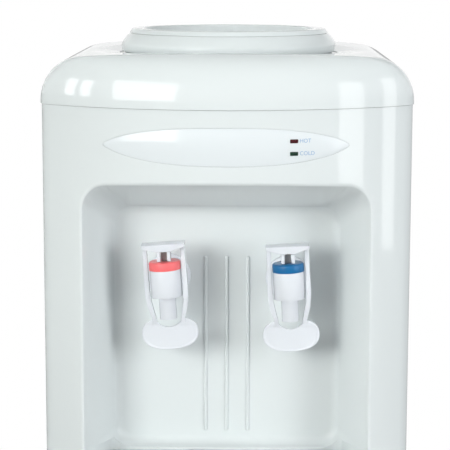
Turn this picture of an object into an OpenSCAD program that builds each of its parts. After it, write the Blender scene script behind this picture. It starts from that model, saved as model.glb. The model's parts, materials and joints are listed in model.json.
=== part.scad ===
// Countertop water dispenser with a hot and a cold push tap.
// Millimetres. +Z is up, the front looks along -Y, and the origin is the
// middle of the footprint on the surface that the rubber feet stand on.

/* [Body] */
// Width across the side panels
body_w = 310; // [290:1:340]
// Depth from the nose of the front panel to the rear panel
body_d = 308; // [300:1:330]
// Height of the seam between the body and the lid
body_top = 431; // [425:1:450]
// Radius of the bowed front, seen from above
bow_r = 230; // [210:1:300]
// Radius between the bowed front and each side
corner_r = 22; // [14:1:30]
// Radius of the rear corners
rear_r = 12; // [6:1:20]
// Wall of the moulded front panel and lid
shell_t = 2.5; // [2:0.1:3.5]
// Sheet of the side and rear panels
sheet_t = 1.2; // [0.8:0.1:2]
// Y distance from the nose to the split between front and side panels
split_d = 77; // [74:1:90]
// Height of the rubber feet
foot_h = 10; // [6:1:16]
// Radius of a rubber foot
foot_r = 14; // [10:1:18]

/* [Lid] */
// Height of the lid above the seam
lid_h = 43.3; // [38:0.1:50]
// How far the lid stands out past the body at the front and sides
lid_over = 1; // [0.2:0.1:1.4]
// Radius of the rounded shoulder along each side of the lid
shoulder_r = 37.5; // [25:0.5:40]
// How far the fold above the front lies behind the nose
fold_d = 25; // [18:1:32]
// Rise of the lid's crown from the shoulders to the middle
crown_h = 3.6; // [2:0.1:6]
// Radius of the dish that the bottle collar stands in
dish_r = 96; // [95:0.5:100]
// Radius of the hole in the dish
dish_hole_r = 79; // [76:0.5:82]

/* [Alcove] */
// Height of the shelf that the drip tray stands on
shelf_z = 104; // [90:1:115]
// Height of the alcove's flat back wall
wall_h = 206; // [180:1:210]
// Half width of the back wall
wall_hw = 95; // [85:1:100]
// Half width of the alcove's mouth
mouth_hw = 119.5; // [110:0.5:124]
// Distance from the nose to the back wall
wall_d = 85; // [75:1:88]
// Rise of the ceiling from the back wall to the lip
ceiling_rise = 30.4; // [20:0.1:32]
// Radius of the mouth's upper corners
mouth_r = 20; // [12:1:26]
// Radius of the back wall's corners
wall_r = 13; // [8:1:18]
// Spacing of the three ribs on the back wall
rib_gap = 18.2; // [14:0.1:22]
// Length of a rib
rib_len = 154; // [120:1:160]

/* [Taps] */
// Distance of each tap from the middle between the two
tap_x = 51.4; // [46:0.1:57]
// How far the middle between the taps lies right of the body's middle
tap_off = 1.1; // [-2:0.1:2]
// How much lower the cold tap is set than the hot one
cold_low = 1.3; // [-2:0.1:2]
// Height of the taps above the rim of the drip tray
tap_rise = 150.7; // [140:0.1:155]
// Distance from the tap's upright axis to the back wall
tap_reach = 37; // [33:0.5:42]
// Turn of the hot tap in its hole
hot_turn = 4; // [-6:1:6]
// Turn of the cold tap in its hole
cold_turn = 3; // [-6:1:6]
// Radius of the tap's barrel
barrel_r = 13; // [12:0.1:14]
// Radius of the spout
spout_r = 7.2; // [6:0.1:8]
// Radius of the threaded shank through the wall
shank_r = 8; // [7:0.1:9]
// Radius of the wall rose behind each tap
rose_r = 19.2; // [17:0.1:22]
// Half width of the push paddle
paddle_hw = 23.8; // [20:0.1:26]
// Height of the push paddle
paddle_h = 28; // [24:0.5:32]
// Forward offset of the lever's cam, which sets the valve's lift
cam_e = 6; // [4:0.1:7]

/* [Drip tray] */
// Height of the drip tray
tray_h = 27; // [20:1:34]
// How far the tray's lip stands in front of the nose
tray_lip = 3; // [1:0.5:8]
// Wall of the drip tray
tray_t = 2; // [1.5:0.1:3]

/* [Bottle seat] */
// Outer radius of the collar at its widest
collar_r = 94; // [88:0.5:94]
// Outer radius of the collar's rim
rim_r = 86; // [80:0.5:87]
// Height of the collar's rim above the crown of the lid
rim_up = 15.7; // [14:0.1:30]
// Inner radius of the bottle neck socket
neck_r = 30; // [27:0.5:33]
// Length of the bottle neck socket
neck_len = 49; // [40:1:55]

/* [Water tanks] */
// Outer radius of the cold tank
cold_r = 54; // [48:0.5:55]
// Thickness of the foam round the cold tank
foam_t = 12; // [8:0.5:13]
// Outer radius of the hot tank
hot_r = 50; // [44:0.5:54]
// Height of the hot tank
hot_h = 108; // [90:1:112]

/* [Display] */
// Width of the oval display badge
badge_w = 200; // [180:0.2:210]
// Height of the oval display badge
badge_h = 31.3; // [26:0.1:36]
// Distance from the seam down to the badge's middle
badge_drop = 29.8; // [24:0.1:34]

/* [Hidden] */
$fn = 64;

white = "#eef1f2";
steel = "silver";
eps = 0.05;
cut = 1;          // how far a cutting shape runs past what it cuts
fit = 0.3;        // usual gap between pieces that only lie together
slip = 0.06;      // radial gap of a pin that turns in its hole

// Places along Y. The footprint runs from the tray's lip to the drain cap.
cap_out = 9;
y_nose = -(body_d + tray_lip + cap_out) / 2 + tray_lip;
y_rear = y_nose + body_d;
y_bow = y_nose + bow_r;
y_split = y_nose + split_d;
y_wall = y_nose + wall_d;
y_tap = y_wall - tap_reach;
function bow_y(x, r = bow_r) = y_bow - sqrt(r * r - x * x);
y_mouth = bow_y(mouth_hw);

// Heights
pan_t = 3;
pan_z = foot_h;
pan_top = pan_z + pan_t;
panel_z = foot_h + 2;
seam_gap = 0.7;
crown_z = body_top + lid_h;
dish_t = shell_t;
dish_z = crown_z - 5.8;
rim_z = crown_z + rim_up;
tray_z = shelf_z + tray_h;
wall_z0 = tray_z + 3.5;
wall_z1 = wall_z0 + wall_h;
lip_z = wall_z1 + ceiling_rise;
tap_z = tray_z + tap_rise;
function hole_x(side) = tap_off + side * tap_x;
function hole_z(side) = side < 0 ? tap_z : tap_z - cold_low;
badge_z = body_top - badge_drop;

// ---------------------------------------------------------------- outlines

// Points of an arc about [x, y], from angle a to angle b in n steps
function arc(x, y, r, a, b, n) = [for (i = [0:n]) let (t = a + (b - a) * i / n)
    [x + r * cos(t), y + r * sin(t)]];

// Footprint of the body: a bowed front, tight front corners, straight sides
function footprint(w, nose, rear, bow, cr, rr) =
    let (hw = w / 2, cx = hw - cr, by = nose + bow,
         cy = by - sqrt((bow - cr) * (bow - cr) - cx * cx),
         t = atan2(cy - by, cx))
    concat(
        arc(0, by, bow, -180 - t, t, 24),
        arc(cx, cy, cr, t, 0, 6),
        arc(hw - rr, rear - rr, rr, 0, 90, 5),
        arc(rr - hw, rear - rr, rr, 90, 180, 5),
        arc(-cx, cy, cr, 180, 180 - t, 6));

// The same footprint, drawn a distance inside the body's outer face
function inside(d) = footprint(body_w - 2 * d, y_nose + d, y_rear - d,
    bow_r - d, corner_r - d, max(rear_r - d, 1));

module body_prism(d, z0, z1) {
    translate([0, 0, z0]) linear_extrude(z1 - z0) polygon(inside(d));
}

module skin(t, z0, z1) {
    translate([0, 0, z0]) linear_extrude(z1 - z0) difference() {
        polygon(inside(0));
        polygon(inside(t));
    }
}

// Turns a shape drawn in X and Z upright, and extrudes it from y0 to y1
module along_y(y0, y1) {
    translate([0, y1, 0]) rotate([90, 0, 0]) linear_extrude(y1 - y0) children();
}

// A round rod along Y from y0 to y1
module rod_y(x, z, r, y0, y1) {
    translate([x, y1, z]) rotate([90, 0, 0]) cylinder(h = y1 - y0, r = r);
}

// A round rod along X from x0 to x1
module rod_x(y, z, r, x0, x1) {
    translate([x0, y, z]) rotate([0, 90, 0]) cylinder(h = x1 - x0, r = r);
}

module box(x0, x1, y0, y1, z0, z1) {
    translate([x0, y0, z0]) cube([x1 - x0, y1 - y0, z1 - z0]);
}

// Rounded rectangle in X and Z, symmetric about X = 0
function upright_rect(hw, z0, z1, r) = concat(
    arc(hw - r, z0 + r, r, -90, 0, 6), arc(hw - r, z1 - r, r, 0, 90, 6),
    arc(r - hw, z1 - r, r, 90, 180, 6), arc(r - hw, z0 + r, r, 180, 270, 6));

module slab_at(y, points) { along_y(y - eps, y) polygon(points); }

// A ring turned about the Z axis at [x, y], between two radii and two heights
module ring(x, y, r0, r1, z0, z1) {
    translate([x, y, z0]) difference() {
        cylinder(h = z1 - z0, r = r1);
        translate([0, 0, -cut]) cylinder(h = z1 - z0 + 2 * cut, r = r0);
    }
}

function unit(v) = v / norm(v);

// A path with each corner rounded over a length b on both sides
function rounded(p, b, n = 4) = let (last = len(p) - 1) concat([p[0]],
    [for (i = [1:last - 1]) let (u = p[i] + b * unit(p[i - 1] - p[i]), v = p[i] + b * unit(p[i + 1] - p[i]))
        each [for (k = [0:n]) let (t = k / n) (1 - t) * (1 - t) * u + 2 * t * (1 - t) * p[i] + t * t * v]],
    [p[last]]);

// Directions across a path, carried along its tangents without a twist
function carried(t, u, i = 0) = i == len(t) ? [] :
    let (v = unit(u - (u * t[i]) * t[i])) concat([v], carried(t, v, i + 1));

// A solid rod of n sides swept along a path, with the directions across it
// given, or carried along from +X
module swept(path, r, n, across = []) {
    last = len(path) - 1;
    t = [for (i = [0:last]) unit(path[min(i + 1, last)] - path[max(i - 1, 0)])];
    u = len(across) > 0 ? across : carried(t, [1, 0, 0]);
    points = [for (i = [0:last], k = [0:n - 1])
        path[i] + r * (cos(360 * k / n) * u[i] + sin(360 * k / n) * cross(u[i], t[i]))];
    sides = [for (i = [0:last - 1], k = [0:n - 1]) let (a = n * i, b = a + n, m = (k + 1) % n)
        each [[a + k, b + k, b + m], [a + k, b + m, a + m]]];
    polyhedron(points, concat(sides, [[for (k = [n - 1:-1:0]) k], [for (k = [0:n - 1]) n * last + k]]),
        convexity = 8);
}

// A hose: its bore slides over a nipple, and its ends are cut square
hose_sides = 12;
module hose(corners, bend) {
    path = rounded(corners, bend);
    last = len(path) - 1;
    long = concat([path[0] + cut * unit(path[0] - path[1])], [for (i = [1:last - 1]) path[i]],
        [path[last] + cut * unit(path[last] - path[last - 1])]);
    color("#dfe3df") difference() {
        swept(path, hose_r, hose_sides);
        swept(long, hose_in, hose_sides);
    }
}

// ------------------------------------------------------------ body and base

foot_front_y = y_nose + 62;
foot_rear_y = y_rear - 28;
foot_places = [for (s = [-1, 1]) each [[s * (body_w / 2 - 45), foot_front_y],
    [s * (body_w / 2 - 35), foot_rear_y]]];
foot_stem_r = 4;

module rubber_feet() {
    color("#30302f") for (p = foot_places) translate([p[0], p[1], 0]) {
        cylinder(h = 2, r1 = foot_r - 1.5, r2 = foot_r);
        translate([0, 0, 2]) cylinder(h = foot_h - 2, r = foot_r);
        translate([0, 0, foot_h]) cylinder(h = pan_t + 1, r = foot_stem_r);
    }
}

pan_rim_h = 14;
pan_rim_z = pan_top + pan_rim_h;
pan_gap = shell_t + fit;
// The board stands beside the hot tank's stand
stand_hw = hot_r + 6;
stand_foot = 10;
board_w = 73;
board_d = 100;
board_x0 = stand_hw + stand_foot + 1;
board_x1 = board_x0 + board_w;
board_y0 = 20;
board_y1 = board_y0 + board_d;
board_post_in = 7;
board_post_h = 10;
board_post_r = 3.5;
board_posts = [for (x = [board_x0 + board_post_in, board_x1 - board_post_in],
    y = [board_y0 + board_post_in, board_y1 - board_post_in]) [x, y]];
intake_y0 = 85;
intake_y1 = 135;
intake_w = 6;

module base_pan() {
    color("#c9cdcf") {
        difference() {
            union() {
                body_prism(0.8, pan_z, panel_z - 0.2);
                difference() {
                    body_prism(pan_gap, pan_z, pan_rim_z);
                    body_prism(pan_gap + pan_t, pan_top, pan_rim_z + cut);
                }
            }
            for (p = foot_places) translate([p[0], p[1], pan_z - cut])
                cylinder(h = pan_t + 2 * cut, r = foot_stem_r + slip);
            // Intake slots under the fan
            for (i = [-5:5]) let (x = 2 * i * intake_w)
                box(x - intake_w / 2, x + intake_w / 2, intake_y0, intake_y1, pan_z - cut, pan_top + cut);
            screw_holes(12);
        }
        for (p = board_posts) translate([p[0], p[1], pan_top - eps])
            cylinder(h = board_post_h + eps, r = board_post_r);
    }
}

// The alcove's hollow, or with g its hollow grown by a wall
lip_slope = 0.1386;
front_ext = 6;
mouth_drop = 15;
module alcove(g = 0) {
    r0 = mouth_r + g;
    top0 = lip_z + lip_slope * front_ext + g;
    top1 = lip_z - lip_slope * (y_mouth - y_nose) + g;
    low1 = wall_z0 - mouth_drop - g;
    hull() {
        slab_at(y_nose - front_ext, upright_rect(mouth_hw + 2 + g, low1 - 9, top0, r0));
        slab_at(y_mouth, upright_rect(mouth_hw + g, low1, top1, r0));
    }
    hull() {
        slab_at(y_mouth, upright_rect(mouth_hw + g, low1, top1, r0));
        slab_at(y_wall + g, upright_rect(wall_hw + g, wall_z0 - g, wall_z1 + g, wall_r + g));
    }
}

// Plan of the pocket that the drip tray slides into, inset by d
tray_back = y_wall - 12;
function taper_x(y) = mouth_hw + (wall_hw - mouth_hw) * (y - y_mouth) / (y_wall - y_mouth);
function pocket_plan(d, front) =
    let (hb = taper_x(tray_back) - d, hf = mouth_hw - d, r = 10, yb = tray_back - d)
    concat([[-hf, front], [hf, front], [hf, y_mouth]],
        arc(hb - r, yb - r, r, 20, 90, 4), arc(r - hb, yb - r, r, 90, 160, 4), [[-hf, y_mouth]]);

pocket_head = 10;
module tray_pocket(g = 0) {
    translate([0, 0, shelf_z - g]) linear_extrude(tray_h + g + pocket_head)
        polygon(pocket_plan(-g, y_nose - front_ext));
}

badge_t = 1;
badge_gap = 0.25;
// A long oval of half width a and half height b, with fuller ends than an ellipse
function oval(a, b) = [for (i = [0:59]) let (c = cos(6 * i))
    [a * c, b * sign(sin(6 * i)) * pow(1 - pow(abs(c), 2.5), 0.68)]];

module badge_shape(d, t) {
    intersection() {
        along_y(y_nose - cut, y_nose + 60) translate([0, badge_z])
            polygon(oval(badge_w / 2 - d, badge_h / 2 - d));
        skin(t, badge_z - badge_h, badge_z + badge_h);
    }
}

lamp_w = 6.6;
lamp_h = 3.2;
lamp_x = 54.8;
lamp_gap = 10.1;
lamp_up = 4.6;
lamp_depth = 9;
hot_lamp_z = badge_z + lamp_up;
cold_lamp_z = hot_lamp_z - lamp_gap;

module lamp_block(z, d, y1) {
    box(lamp_x - lamp_w / 2 - d, lamp_x + lamp_w / 2 + d, bow_y(lamp_x) - 0.4 - 4 * d, y1,
        z - lamp_h / 2 - d, z + lamp_h / 2 + d);
}

rib_w = 3;
rib_out = 1.4;
rib_z0 = wall_z0 + 10;

module wall_rib(x) {
    rod_z = [[x, rib_z0 + rib_w / 2], [x, rib_z0 + rib_len - rib_w / 2]];
    along_y(y_wall - rib_out, y_wall + eps) union() {
        translate([x - rib_w / 2, rod_z[0][1]]) square([rib_w, rod_z[1][1] - rod_z[0][1]]);
        for (p = rod_z) translate(p) circle(r = rib_w / 2, $fn = 24);
    }
}

module front_panel() {
    color(white) {
        difference() {
            union() {
                difference() {
                    skin(shell_t, panel_z, body_top - seam_gap);
                    box(-body_w, body_w, y_split, y_rear + cut, 0, body_top + cut);
                }
                intersection() {
                    body_prism(0, panel_z, body_top - seam_gap);
                    union() {
                        alcove(shell_t);
                        tray_pocket(shell_t);
                    }
                }
            }
            alcove();
            tray_pocket();
            badge_shape(0, badge_t);
            for (s = [-1, 1]) rod_y(hole_x(s), hole_z(s), shank_r + fit, y_wall - cut, y_wall + 2 * shell_t);
            for (z = [hot_lamp_z, cold_lamp_z]) lamp_block(z, 0.1, y_mouth);
        }
        for (i = [-1:1]) wall_rib(i * rib_gap);
        // Lamp holders behind the badge
        for (z = [hot_lamp_z, cold_lamp_z]) difference() {
            intersection() {
                lamp_block(z, 1.4, bow_y(lamp_x) + lamp_depth - 2);
                body_prism(shell_t - eps, z - lamp_gap, z + lamp_gap);
            }
            lamp_block(z, 0.1, y_mouth);
        }
    }
}

module display_badge() {
    color("#f2f5f6") difference() {
        badge_shape(badge_gap, badge_t - 0.1);
        for (z = [hot_lamp_z, cold_lamp_z]) lamp_block(z, 0.1, y_mouth);
    }
}

module indicator(z, shade) {
    color(shade) lamp_block(z, 0, bow_y(lamp_x) + lamp_depth);
}

module lamp_board() {
    y = bow_y(lamp_x) + lamp_depth;
    color("#2f6b46") box(lamp_x - 14, lamp_x + 10, y, y + 1.6, cold_lamp_z - 9, hot_lamp_z + 9);
}

rear_plate_hw = body_w / 2 - rear_r - 9;
flange_w = 16;
screw_hole_r = 1.8;
screw_x = rear_plate_hw - 8;
low_screw_z = panel_z + 9;
lid_screw_z = body_top - 5;
rear_screws = [for (x = [-screw_x, screw_x], z = [low_screw_z, (panel_z + body_top) / 2, lid_screw_z]) [x, z]];
lid_screws = [for (x = [-screw_x + 22, screw_x - 22]) [x, lid_screw_z]];

module screw_holes(depth) {
    for (p = concat(rear_screws, lid_screws))
        rod_y(p[0], p[1], screw_hole_r, y_rear - depth, y_rear + cut, $fn = 24);
}

module side_panel(s) {
    edge = rear_plate_hw + fit;
    y1 = y_rear - sheet_t - 0.1;
    color(white) difference() {
        union() {
            difference() {
                skin(sheet_t, panel_z, body_top - seam_gap);
                box(-body_w, body_w, y_nose - cut, y_split + fit, 0, body_top + cut);
                box(min(-s * body_w, s * edge), max(-s * body_w, s * edge), y_nose, y_rear + cut,
                    0, body_top + cut);
            }
            // Flange behind the rear panel
            mirror([s > 0 ? 0 : 1, 0, 0]) {
                box(edge - flange_w, edge + sheet_t, y1 - sheet_t, y1, pan_rim_z + 1, body_top - seam_gap);
                box(edge, edge + sheet_t, y1 - sheet_t, y_rear - 0.2, pan_rim_z + 1, body_top - seam_gap);
            }
        }
        screw_holes(8);
    }
}

sw_x = -(body_w / 2 - 55);
sw_z = [body_top - 30, body_top - 66];
sw_w = 13;
sw_h = 19;
gland_x = sw_x;
gland_z = 62;
gland_r = 8;
drain_x = 0;
drain_z = 62;
drain_r = 9;
grille_z0 = 290;
grille_n = 13;
grille_pitch = 9.5;
grille_hw = 52;
low_grille_z0 = 100;
low_grille_n = 8;

module slot_y(x0, x1, z, r) {
    box(x0 + r, x1 - r, y_rear - 3 * cut, y_rear + cut, z - r, z + r);
    for (x = [x0 + r, x1 - r]) rod_y(x, z, r, y_rear - 3 * cut, y_rear + cut, $fn = 24);
}

module rear_panel() {
    color("#dfe3e5") difference() {
        box(-rear_plate_hw, rear_plate_hw, y_rear - sheet_t, y_rear, panel_z, body_top - seam_gap);
        for (i = [0:grille_n - 1]) slot_y(-grille_hw, grille_hw, grille_z0 + i * grille_pitch, 2.2);
        for (i = [0:low_grille_n - 1]) slot_y(-grille_hw, grille_hw, low_grille_z0 + i * grille_pitch, 2.2);
        for (z = sw_z) box(sw_x - sw_w / 2 - slip, sw_x + sw_w / 2 + slip,
            y_rear - 2 * cut - sheet_t, y_rear + cut, z - sw_h / 2 - slip, z + sw_h / 2 + slip);
        rod_y(gland_x, gland_z, gland_r + slip, y_rear - 3 * cut, y_rear + cut);
        rod_y(drain_x, drain_z, drain_r + slip, y_rear - 3 * cut, y_rear + cut);
        screw_holes(3 * cut);
    }
}

screw_r = 1.5;
module pan_screw(x, z) {
    rod_y(x, z, screw_r, y_rear - 8, y_rear, $fn = 24);
    difference() {
        rod_y(x, z, 3.4, y_rear, y_rear + 1.8, $fn = 32);
        box(x - 2, x + 2, y_rear + 1, y_rear + 3, z - 0.4, z + 0.4);
        box(x - 0.4, x + 0.4, y_rear + 1, y_rear + 3, z - 2, z + 2);
    }
}

module case_screws() {
    color(steel) {
        for (p = concat(rear_screws, lid_screws)) pan_screw(p[0], p[1]);
    }
}

// ---------------------------------------------------------------------- lid

// The front of the lid leans back along a superellipse that would end this
// many lid heights above the seam
fold_share = 1.062;
fold_n = 2.9;
function leaned(u) = 1 - pow(1 - pow(u, fold_n), 1 / fold_n);
function front_in(h) = fold_d * leaned(max(h, 0) / lid_h / fold_share) / leaned(1 / fold_share);
lid_w = body_w + 2 * lid_over;
shoulder = min(shoulder_r, lid_h - crown_h - 0.5);
shoulder_h = lid_h - crown_h - shoulder;
function side_in(h) = h <= shoulder_h ? 0 :
    shoulder - sqrt(max(0, pow(shoulder, 2) - pow(h - shoulder_h, 2)));
crown_r = (pow(lid_w / 2 - shoulder, 2) + crown_h * crown_h) / (2 * crown_h);

// Slices of the lid as [height above the seam, width]
lid_slices = concat([[-cut, lid_w], [shoulder_h, lid_w]],
    [for (i = [1:6]) let (h = shoulder_h + shoulder * sin(i * 15)) [h, lid_w - 2 * side_in(h)]],
    [for (i = [1:4]) let (d = crown_h * pow(1 - i / 5, 2)) [lid_h - d, 2 * sqrt(2 * crown_r * d - d * d)]],
    [[lid_h, 2 * corner_r + 4]]);

// The lid's outer form, or its hollow at a depth d inside it
module lid_form(d = 0) {
    hull() for (s = lid_slices) let (h = s[0], z = h < 0 ? (d > 0 ? h : 0) : h * (lid_h - d) / lid_h,
            w = max(s[1], 2 * corner_r + 4) - 2 * d)
        translate([0, 0, body_top + z - (h < 0 ? 0 : eps)]) linear_extrude(eps) polygon(footprint(
            w, y_nose - lid_over + front_in(h) + d, y_rear - 0.3 * front_in(h) - d,
            bow_r + lid_over - d, corner_r + lid_over - d, rear_r - d));
}

skirt_in = shell_t + fit;
skirt_low = 9;
module lid() {
    color(white) difference() {
        union() {
            difference() {
                lid_form();
                difference() {
                    lid_form(shell_t);
                    translate([0, 0, dish_z - dish_t]) cylinder(h = lid_h, r = dish_r + dish_t);
                }
            }
            // Skirt that locates the lid inside the panels, hung from a step in the wall
            difference() {
                union() {
                    body_prism(1, body_top + 1, body_top + 4);
                    body_prism(skirt_in, body_top - skirt_low, body_top + 2);
                }
                body_prism(skirt_in + shell_t, body_top - skirt_low - cut, body_top + 5);
            }
        }
        translate([0, 0, dish_z]) cylinder(h = lid_h, r = dish_r);
        translate([0, 0, body_top]) cylinder(h = 2 * lid_h, r = dish_hole_r);
        screw_holes(12);
    }
}

// -------------------------------------------------------------- bottle seat

collar_z = dish_z + 0.1;
collar_wide_z = crown_z - 1.1;
cap_rim_h = 4;
rim_low_z = rim_z - cap_rim_h;
rim_low_r = rim_r + 1.4;
// The cone of the collar swells a little between its rim and its widest
swell_z = rim_low_z - 7.8;
swell_r = rim_low_r + 0.76 * (collar_r - rim_low_r);
spigot_r = dish_hole_r - 0.4;
wall3 = 2.6;

module collar_ring() {
    color(white) rotate_extrude($fn = 128) polygon([
        [collar_r - 9, collar_z], [collar_r, collar_wide_z], [swell_r, swell_z], [rim_low_r, rim_low_z],
        [rim_r - wall3, rim_low_z], [collar_r - wall3 - 0.6, collar_wide_z + 0.8],
        [collar_r - 10, collar_z + wall3], [spigot_r - wall3, collar_z + wall3],
        [spigot_r - wall3, collar_z - 9], [spigot_r, collar_z - 9], [spigot_r, collar_z]]);
}

funnel_r = spigot_r - wall3 - 0.4;
neck_top = rim_z - 46;
neck_low = neck_top - neck_len;
tube_r = neck_r + 3;

module seat_insert() {
    color(white) rotate_extrude($fn = 128) polygon(concat([
        [rim_low_r - 0.2, rim_low_z + 0.1], [rim_r - 0.2, rim_z - 1.6], [rim_r - 0.7, rim_z - 0.5],
        [rim_r - 1.8, rim_z], [rim_r - 10.4, rim_z], [rim_r - 12, rim_z - 0.5],
        [rim_r - 13, rim_z - 2], [funnel_r - 7, rim_z - 23], [neck_r + 6, rim_z - 40],
        [neck_r + 1.2, neck_top + 1.6], [neck_r, neck_top]],
        [[neck_r, neck_low], [tube_r, neck_low], [tube_r, neck_top - 1],
        [tube_r + 4, neck_top + 2], [funnel_r - 4.6, rim_z - 26], [funnel_r, rim_z - 7],
        [funnel_r, rim_low_z + 0.1]]));
}

cold_over = 32.3;     // room for the hoses, from the taps up to the cold tank
neck_dip = 29;        // how far the neck socket's tube dips into the tank
cold_z0 = tap_z + cold_over;
cold_z1 = neck_low + neck_dip;
cover_t = 3;
module seat_seal() {
    color("#cfd3d4") ring(0, 0, tube_r + 0.1, tube_r + 4.5, cold_z1 + 2 + cover_t, cold_z1 + 7 + cover_t);
}

// ---------------------------------------------------------------- cold tank

nipple_r = 7;
nipple_bore = 5;
foam_z0 = cold_z0 - foam_t;
plate_t = 1.5;
shelf_plate_z = foam_z0 - plate_t;
nipple_out = 8.5;
nipple_z = shelf_plate_z - nipple_out;
cold_port = [30, 22];
cold_wall = 1.2;

module cold_tank() {
    color(steel) difference() {
        union() {
            translate([0, 0, cold_z0]) cylinder(h = cold_z1 - cold_z0, r = cold_r);
            translate([0, 0, cold_z1]) cylinder(h = 2, r = cold_r + 4);
            for (p = [[0, 0], cold_port]) translate([p[0], p[1], nipple_z])
                cylinder(h = cold_z0 - nipple_z + eps, r = nipple_r);
        }
        translate([0, 0, cold_z0 + cold_wall]) cylinder(h = cold_z1, r = cold_r - cold_wall);
        for (p = [[0, 0], cold_port]) translate([p[0], p[1], nipple_z - cut])
            cylinder(h = cold_z0 - nipple_z + 3 * cut, r = nipple_bore);
    }
}

module cold_tank_cover() {
    color(white) ring(0, 0, tube_r + 0.1, cold_r + foam_t - 2, cold_z1 + 2, cold_z1 + 2 + cover_t);
}

block_hw = 25;
block_z = 365;
block_y1 = cold_r + foam_t + 6;

module cold_tank_foam() {
    color("#f4f4ee") difference() {
        translate([0, 0, foam_z0]) cylinder(h = cold_z1 - foam_z0, r = cold_r + foam_t);
        translate([0, 0, cold_z0 - 0.1]) cylinder(h = cold_z1, r = cold_r + fit);
        for (p = [[0, 0], cold_port]) translate([p[0], p[1], foam_z0 - cut])
            cylinder(h = foam_t + 2 * cut, r = nipple_r + fit);
        box(-block_hw - fit, block_hw + fit, 20, block_y1 + cut,
            block_z - block_hw - fit, block_z + block_hw + fit);
    }
}

module baffle_disc() {
    tube = 6.5;
    disc_z = cold_z0 + 36;
    color(white) difference() {
        union() {
            translate([0, 0, disc_z]) cylinder(h = 2, r = cold_r - cold_wall - 1);
            translate([0, 0, cold_z0 + cold_wall]) cylinder(h = disc_z - cold_z0 - cold_wall + eps, r = tube);
        }
        translate([0, 0, cold_z0]) cylinder(h = 60, r = tube - 1.4);
        for (i = [0:5]) rotate([0, 0, 60 * i + 20]) translate([cold_r - 12, 0, disc_z - cut])
            cylinder(h = 4, r = 4, $fn = 32);
    }
}

shelf_y0 = y_wall + shell_t + 6;
shelf_d = 138;
shelf_y1 = shelf_y0 + shelf_d;
shelf_fold = 14;
shelf_hw = body_w / 2 - sheet_t - 0.2;
module tank_shelf() {
    color(steel) difference() {
        union() {
            box(-shelf_hw, shelf_hw, shelf_y0, shelf_y1, shelf_plate_z, foam_z0);
            for (s = [-1, 1]) box(s * shelf_hw - (s > 0 ? plate_t : 0), s * shelf_hw + (s > 0 ? 0 : plate_t),
                shelf_y0, shelf_y1, shelf_plate_z - shelf_fold, shelf_plate_z + eps);
        }
        for (p = [[0, 0], cold_port]) translate([p[0], p[1], shelf_plate_z - cut])
            cylinder(h = plate_t + 2 * cut, r = nipple_r + fit);
    }
}

// ------------------------------------------------------- cooling module, fan

peltier_t = 3.8;
sink_y0 = block_y1 + peltier_t;
sink_base = 6;
sink_depth = 28;
sink_hw = 48;
fan_y0 = sink_y0 + sink_base + sink_depth;
fan_t = 25;
fan_hw = 46;
fan_bore = 43;
hub_r = 14;

module cold_block() {
    color("#b9bec2") difference() {
        box(-block_hw, block_hw, cold_r - 8, block_y1, block_z - block_hw, block_z + block_hw);
        translate([0, 0, block_z - 40]) cylinder(h = 80, r = cold_r + 0.1);
    }
}

module peltier_module() {
    color("#f0f0ea") box(-20, 20, block_y1, sink_y0, block_z - 20, block_z + 20);
}

module heat_sink() {
    fins = 13;
    pitch = (2 * sink_hw - 2) / (fins - 1);
    color("#a8adb1") {
        box(-sink_hw, sink_hw, sink_y0, sink_y0 + sink_base, block_z - sink_hw, block_z + sink_hw);
        for (i = [0:fins - 1]) box(-sink_hw + i * pitch, -sink_hw + 2 + i * pitch,
            sink_y0 + sink_base - eps, fan_y0, block_z - sink_hw, block_z + sink_hw);
    }
}

module fan_frame() {
    color("#2b2c2e") difference() {
        union() {
            difference() {
                box(-fan_hw, fan_hw, fan_y0, fan_y0 + fan_t, block_z - fan_hw, block_z + fan_hw);
                rod_y(0, block_z, fan_bore, fan_y0 - cut, fan_y0 + fan_t + cut);
            }
            for (a = [30, 150, 270]) translate([0, fan_y0 + fan_t, block_z]) rotate([90, a, 0])
                translate([0, -2, 0]) cube([fan_bore + 1, 4, 3]);
            rod_y(0, block_z, hub_r, fan_y0 + fan_t - 3, fan_y0 + fan_t);
            rod_y(0, block_z, 4, fan_y0 + fan_t - 12, fan_y0 + fan_t);
        }
        rod_y(0, block_z, 1.5 + slip, fan_y0 + 6, fan_y0 + fan_t - 2);
    }
}

module fan_rotor() {
    blades = 7;
    y0 = fan_y0 + 2;
    color("#1f2022") {
        difference() {
            rod_y(0, block_z, hub_r + 1, y0, y0 + 18);
            rod_y(0, block_z, hub_r - 1, y0 + 2, y0 + 19);
        }
        rod_y(0, block_z, 1.5, y0 + 1, y0 + 18);
        for (i = [0:blades - 1]) translate([0, y0 + 9, block_z]) rotate([0, i * 360 / blades, 0])
            translate([hub_r + 0.5, 0, 0]) rotate([38, 0, 0])
                translate([0, -10, -0.8]) cube([fan_bore - hub_r - 3, 20, 1.6]);
    }
}

// ----------------------------------------------------------------- hot tank

hot_c = [0, 10];
stand_h = 120.5;
stand_top = pan_top + stand_h;
hot_z0 = stand_top;
hot_z1 = hot_z0 + hot_h;
hot_port = [-24, -8];
hot_wall = 1.2;
hot_inlet_up = 14;    // height of the water inlet above the tank's base
stub = 16;            // length of the tank's pipe stubs

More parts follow.
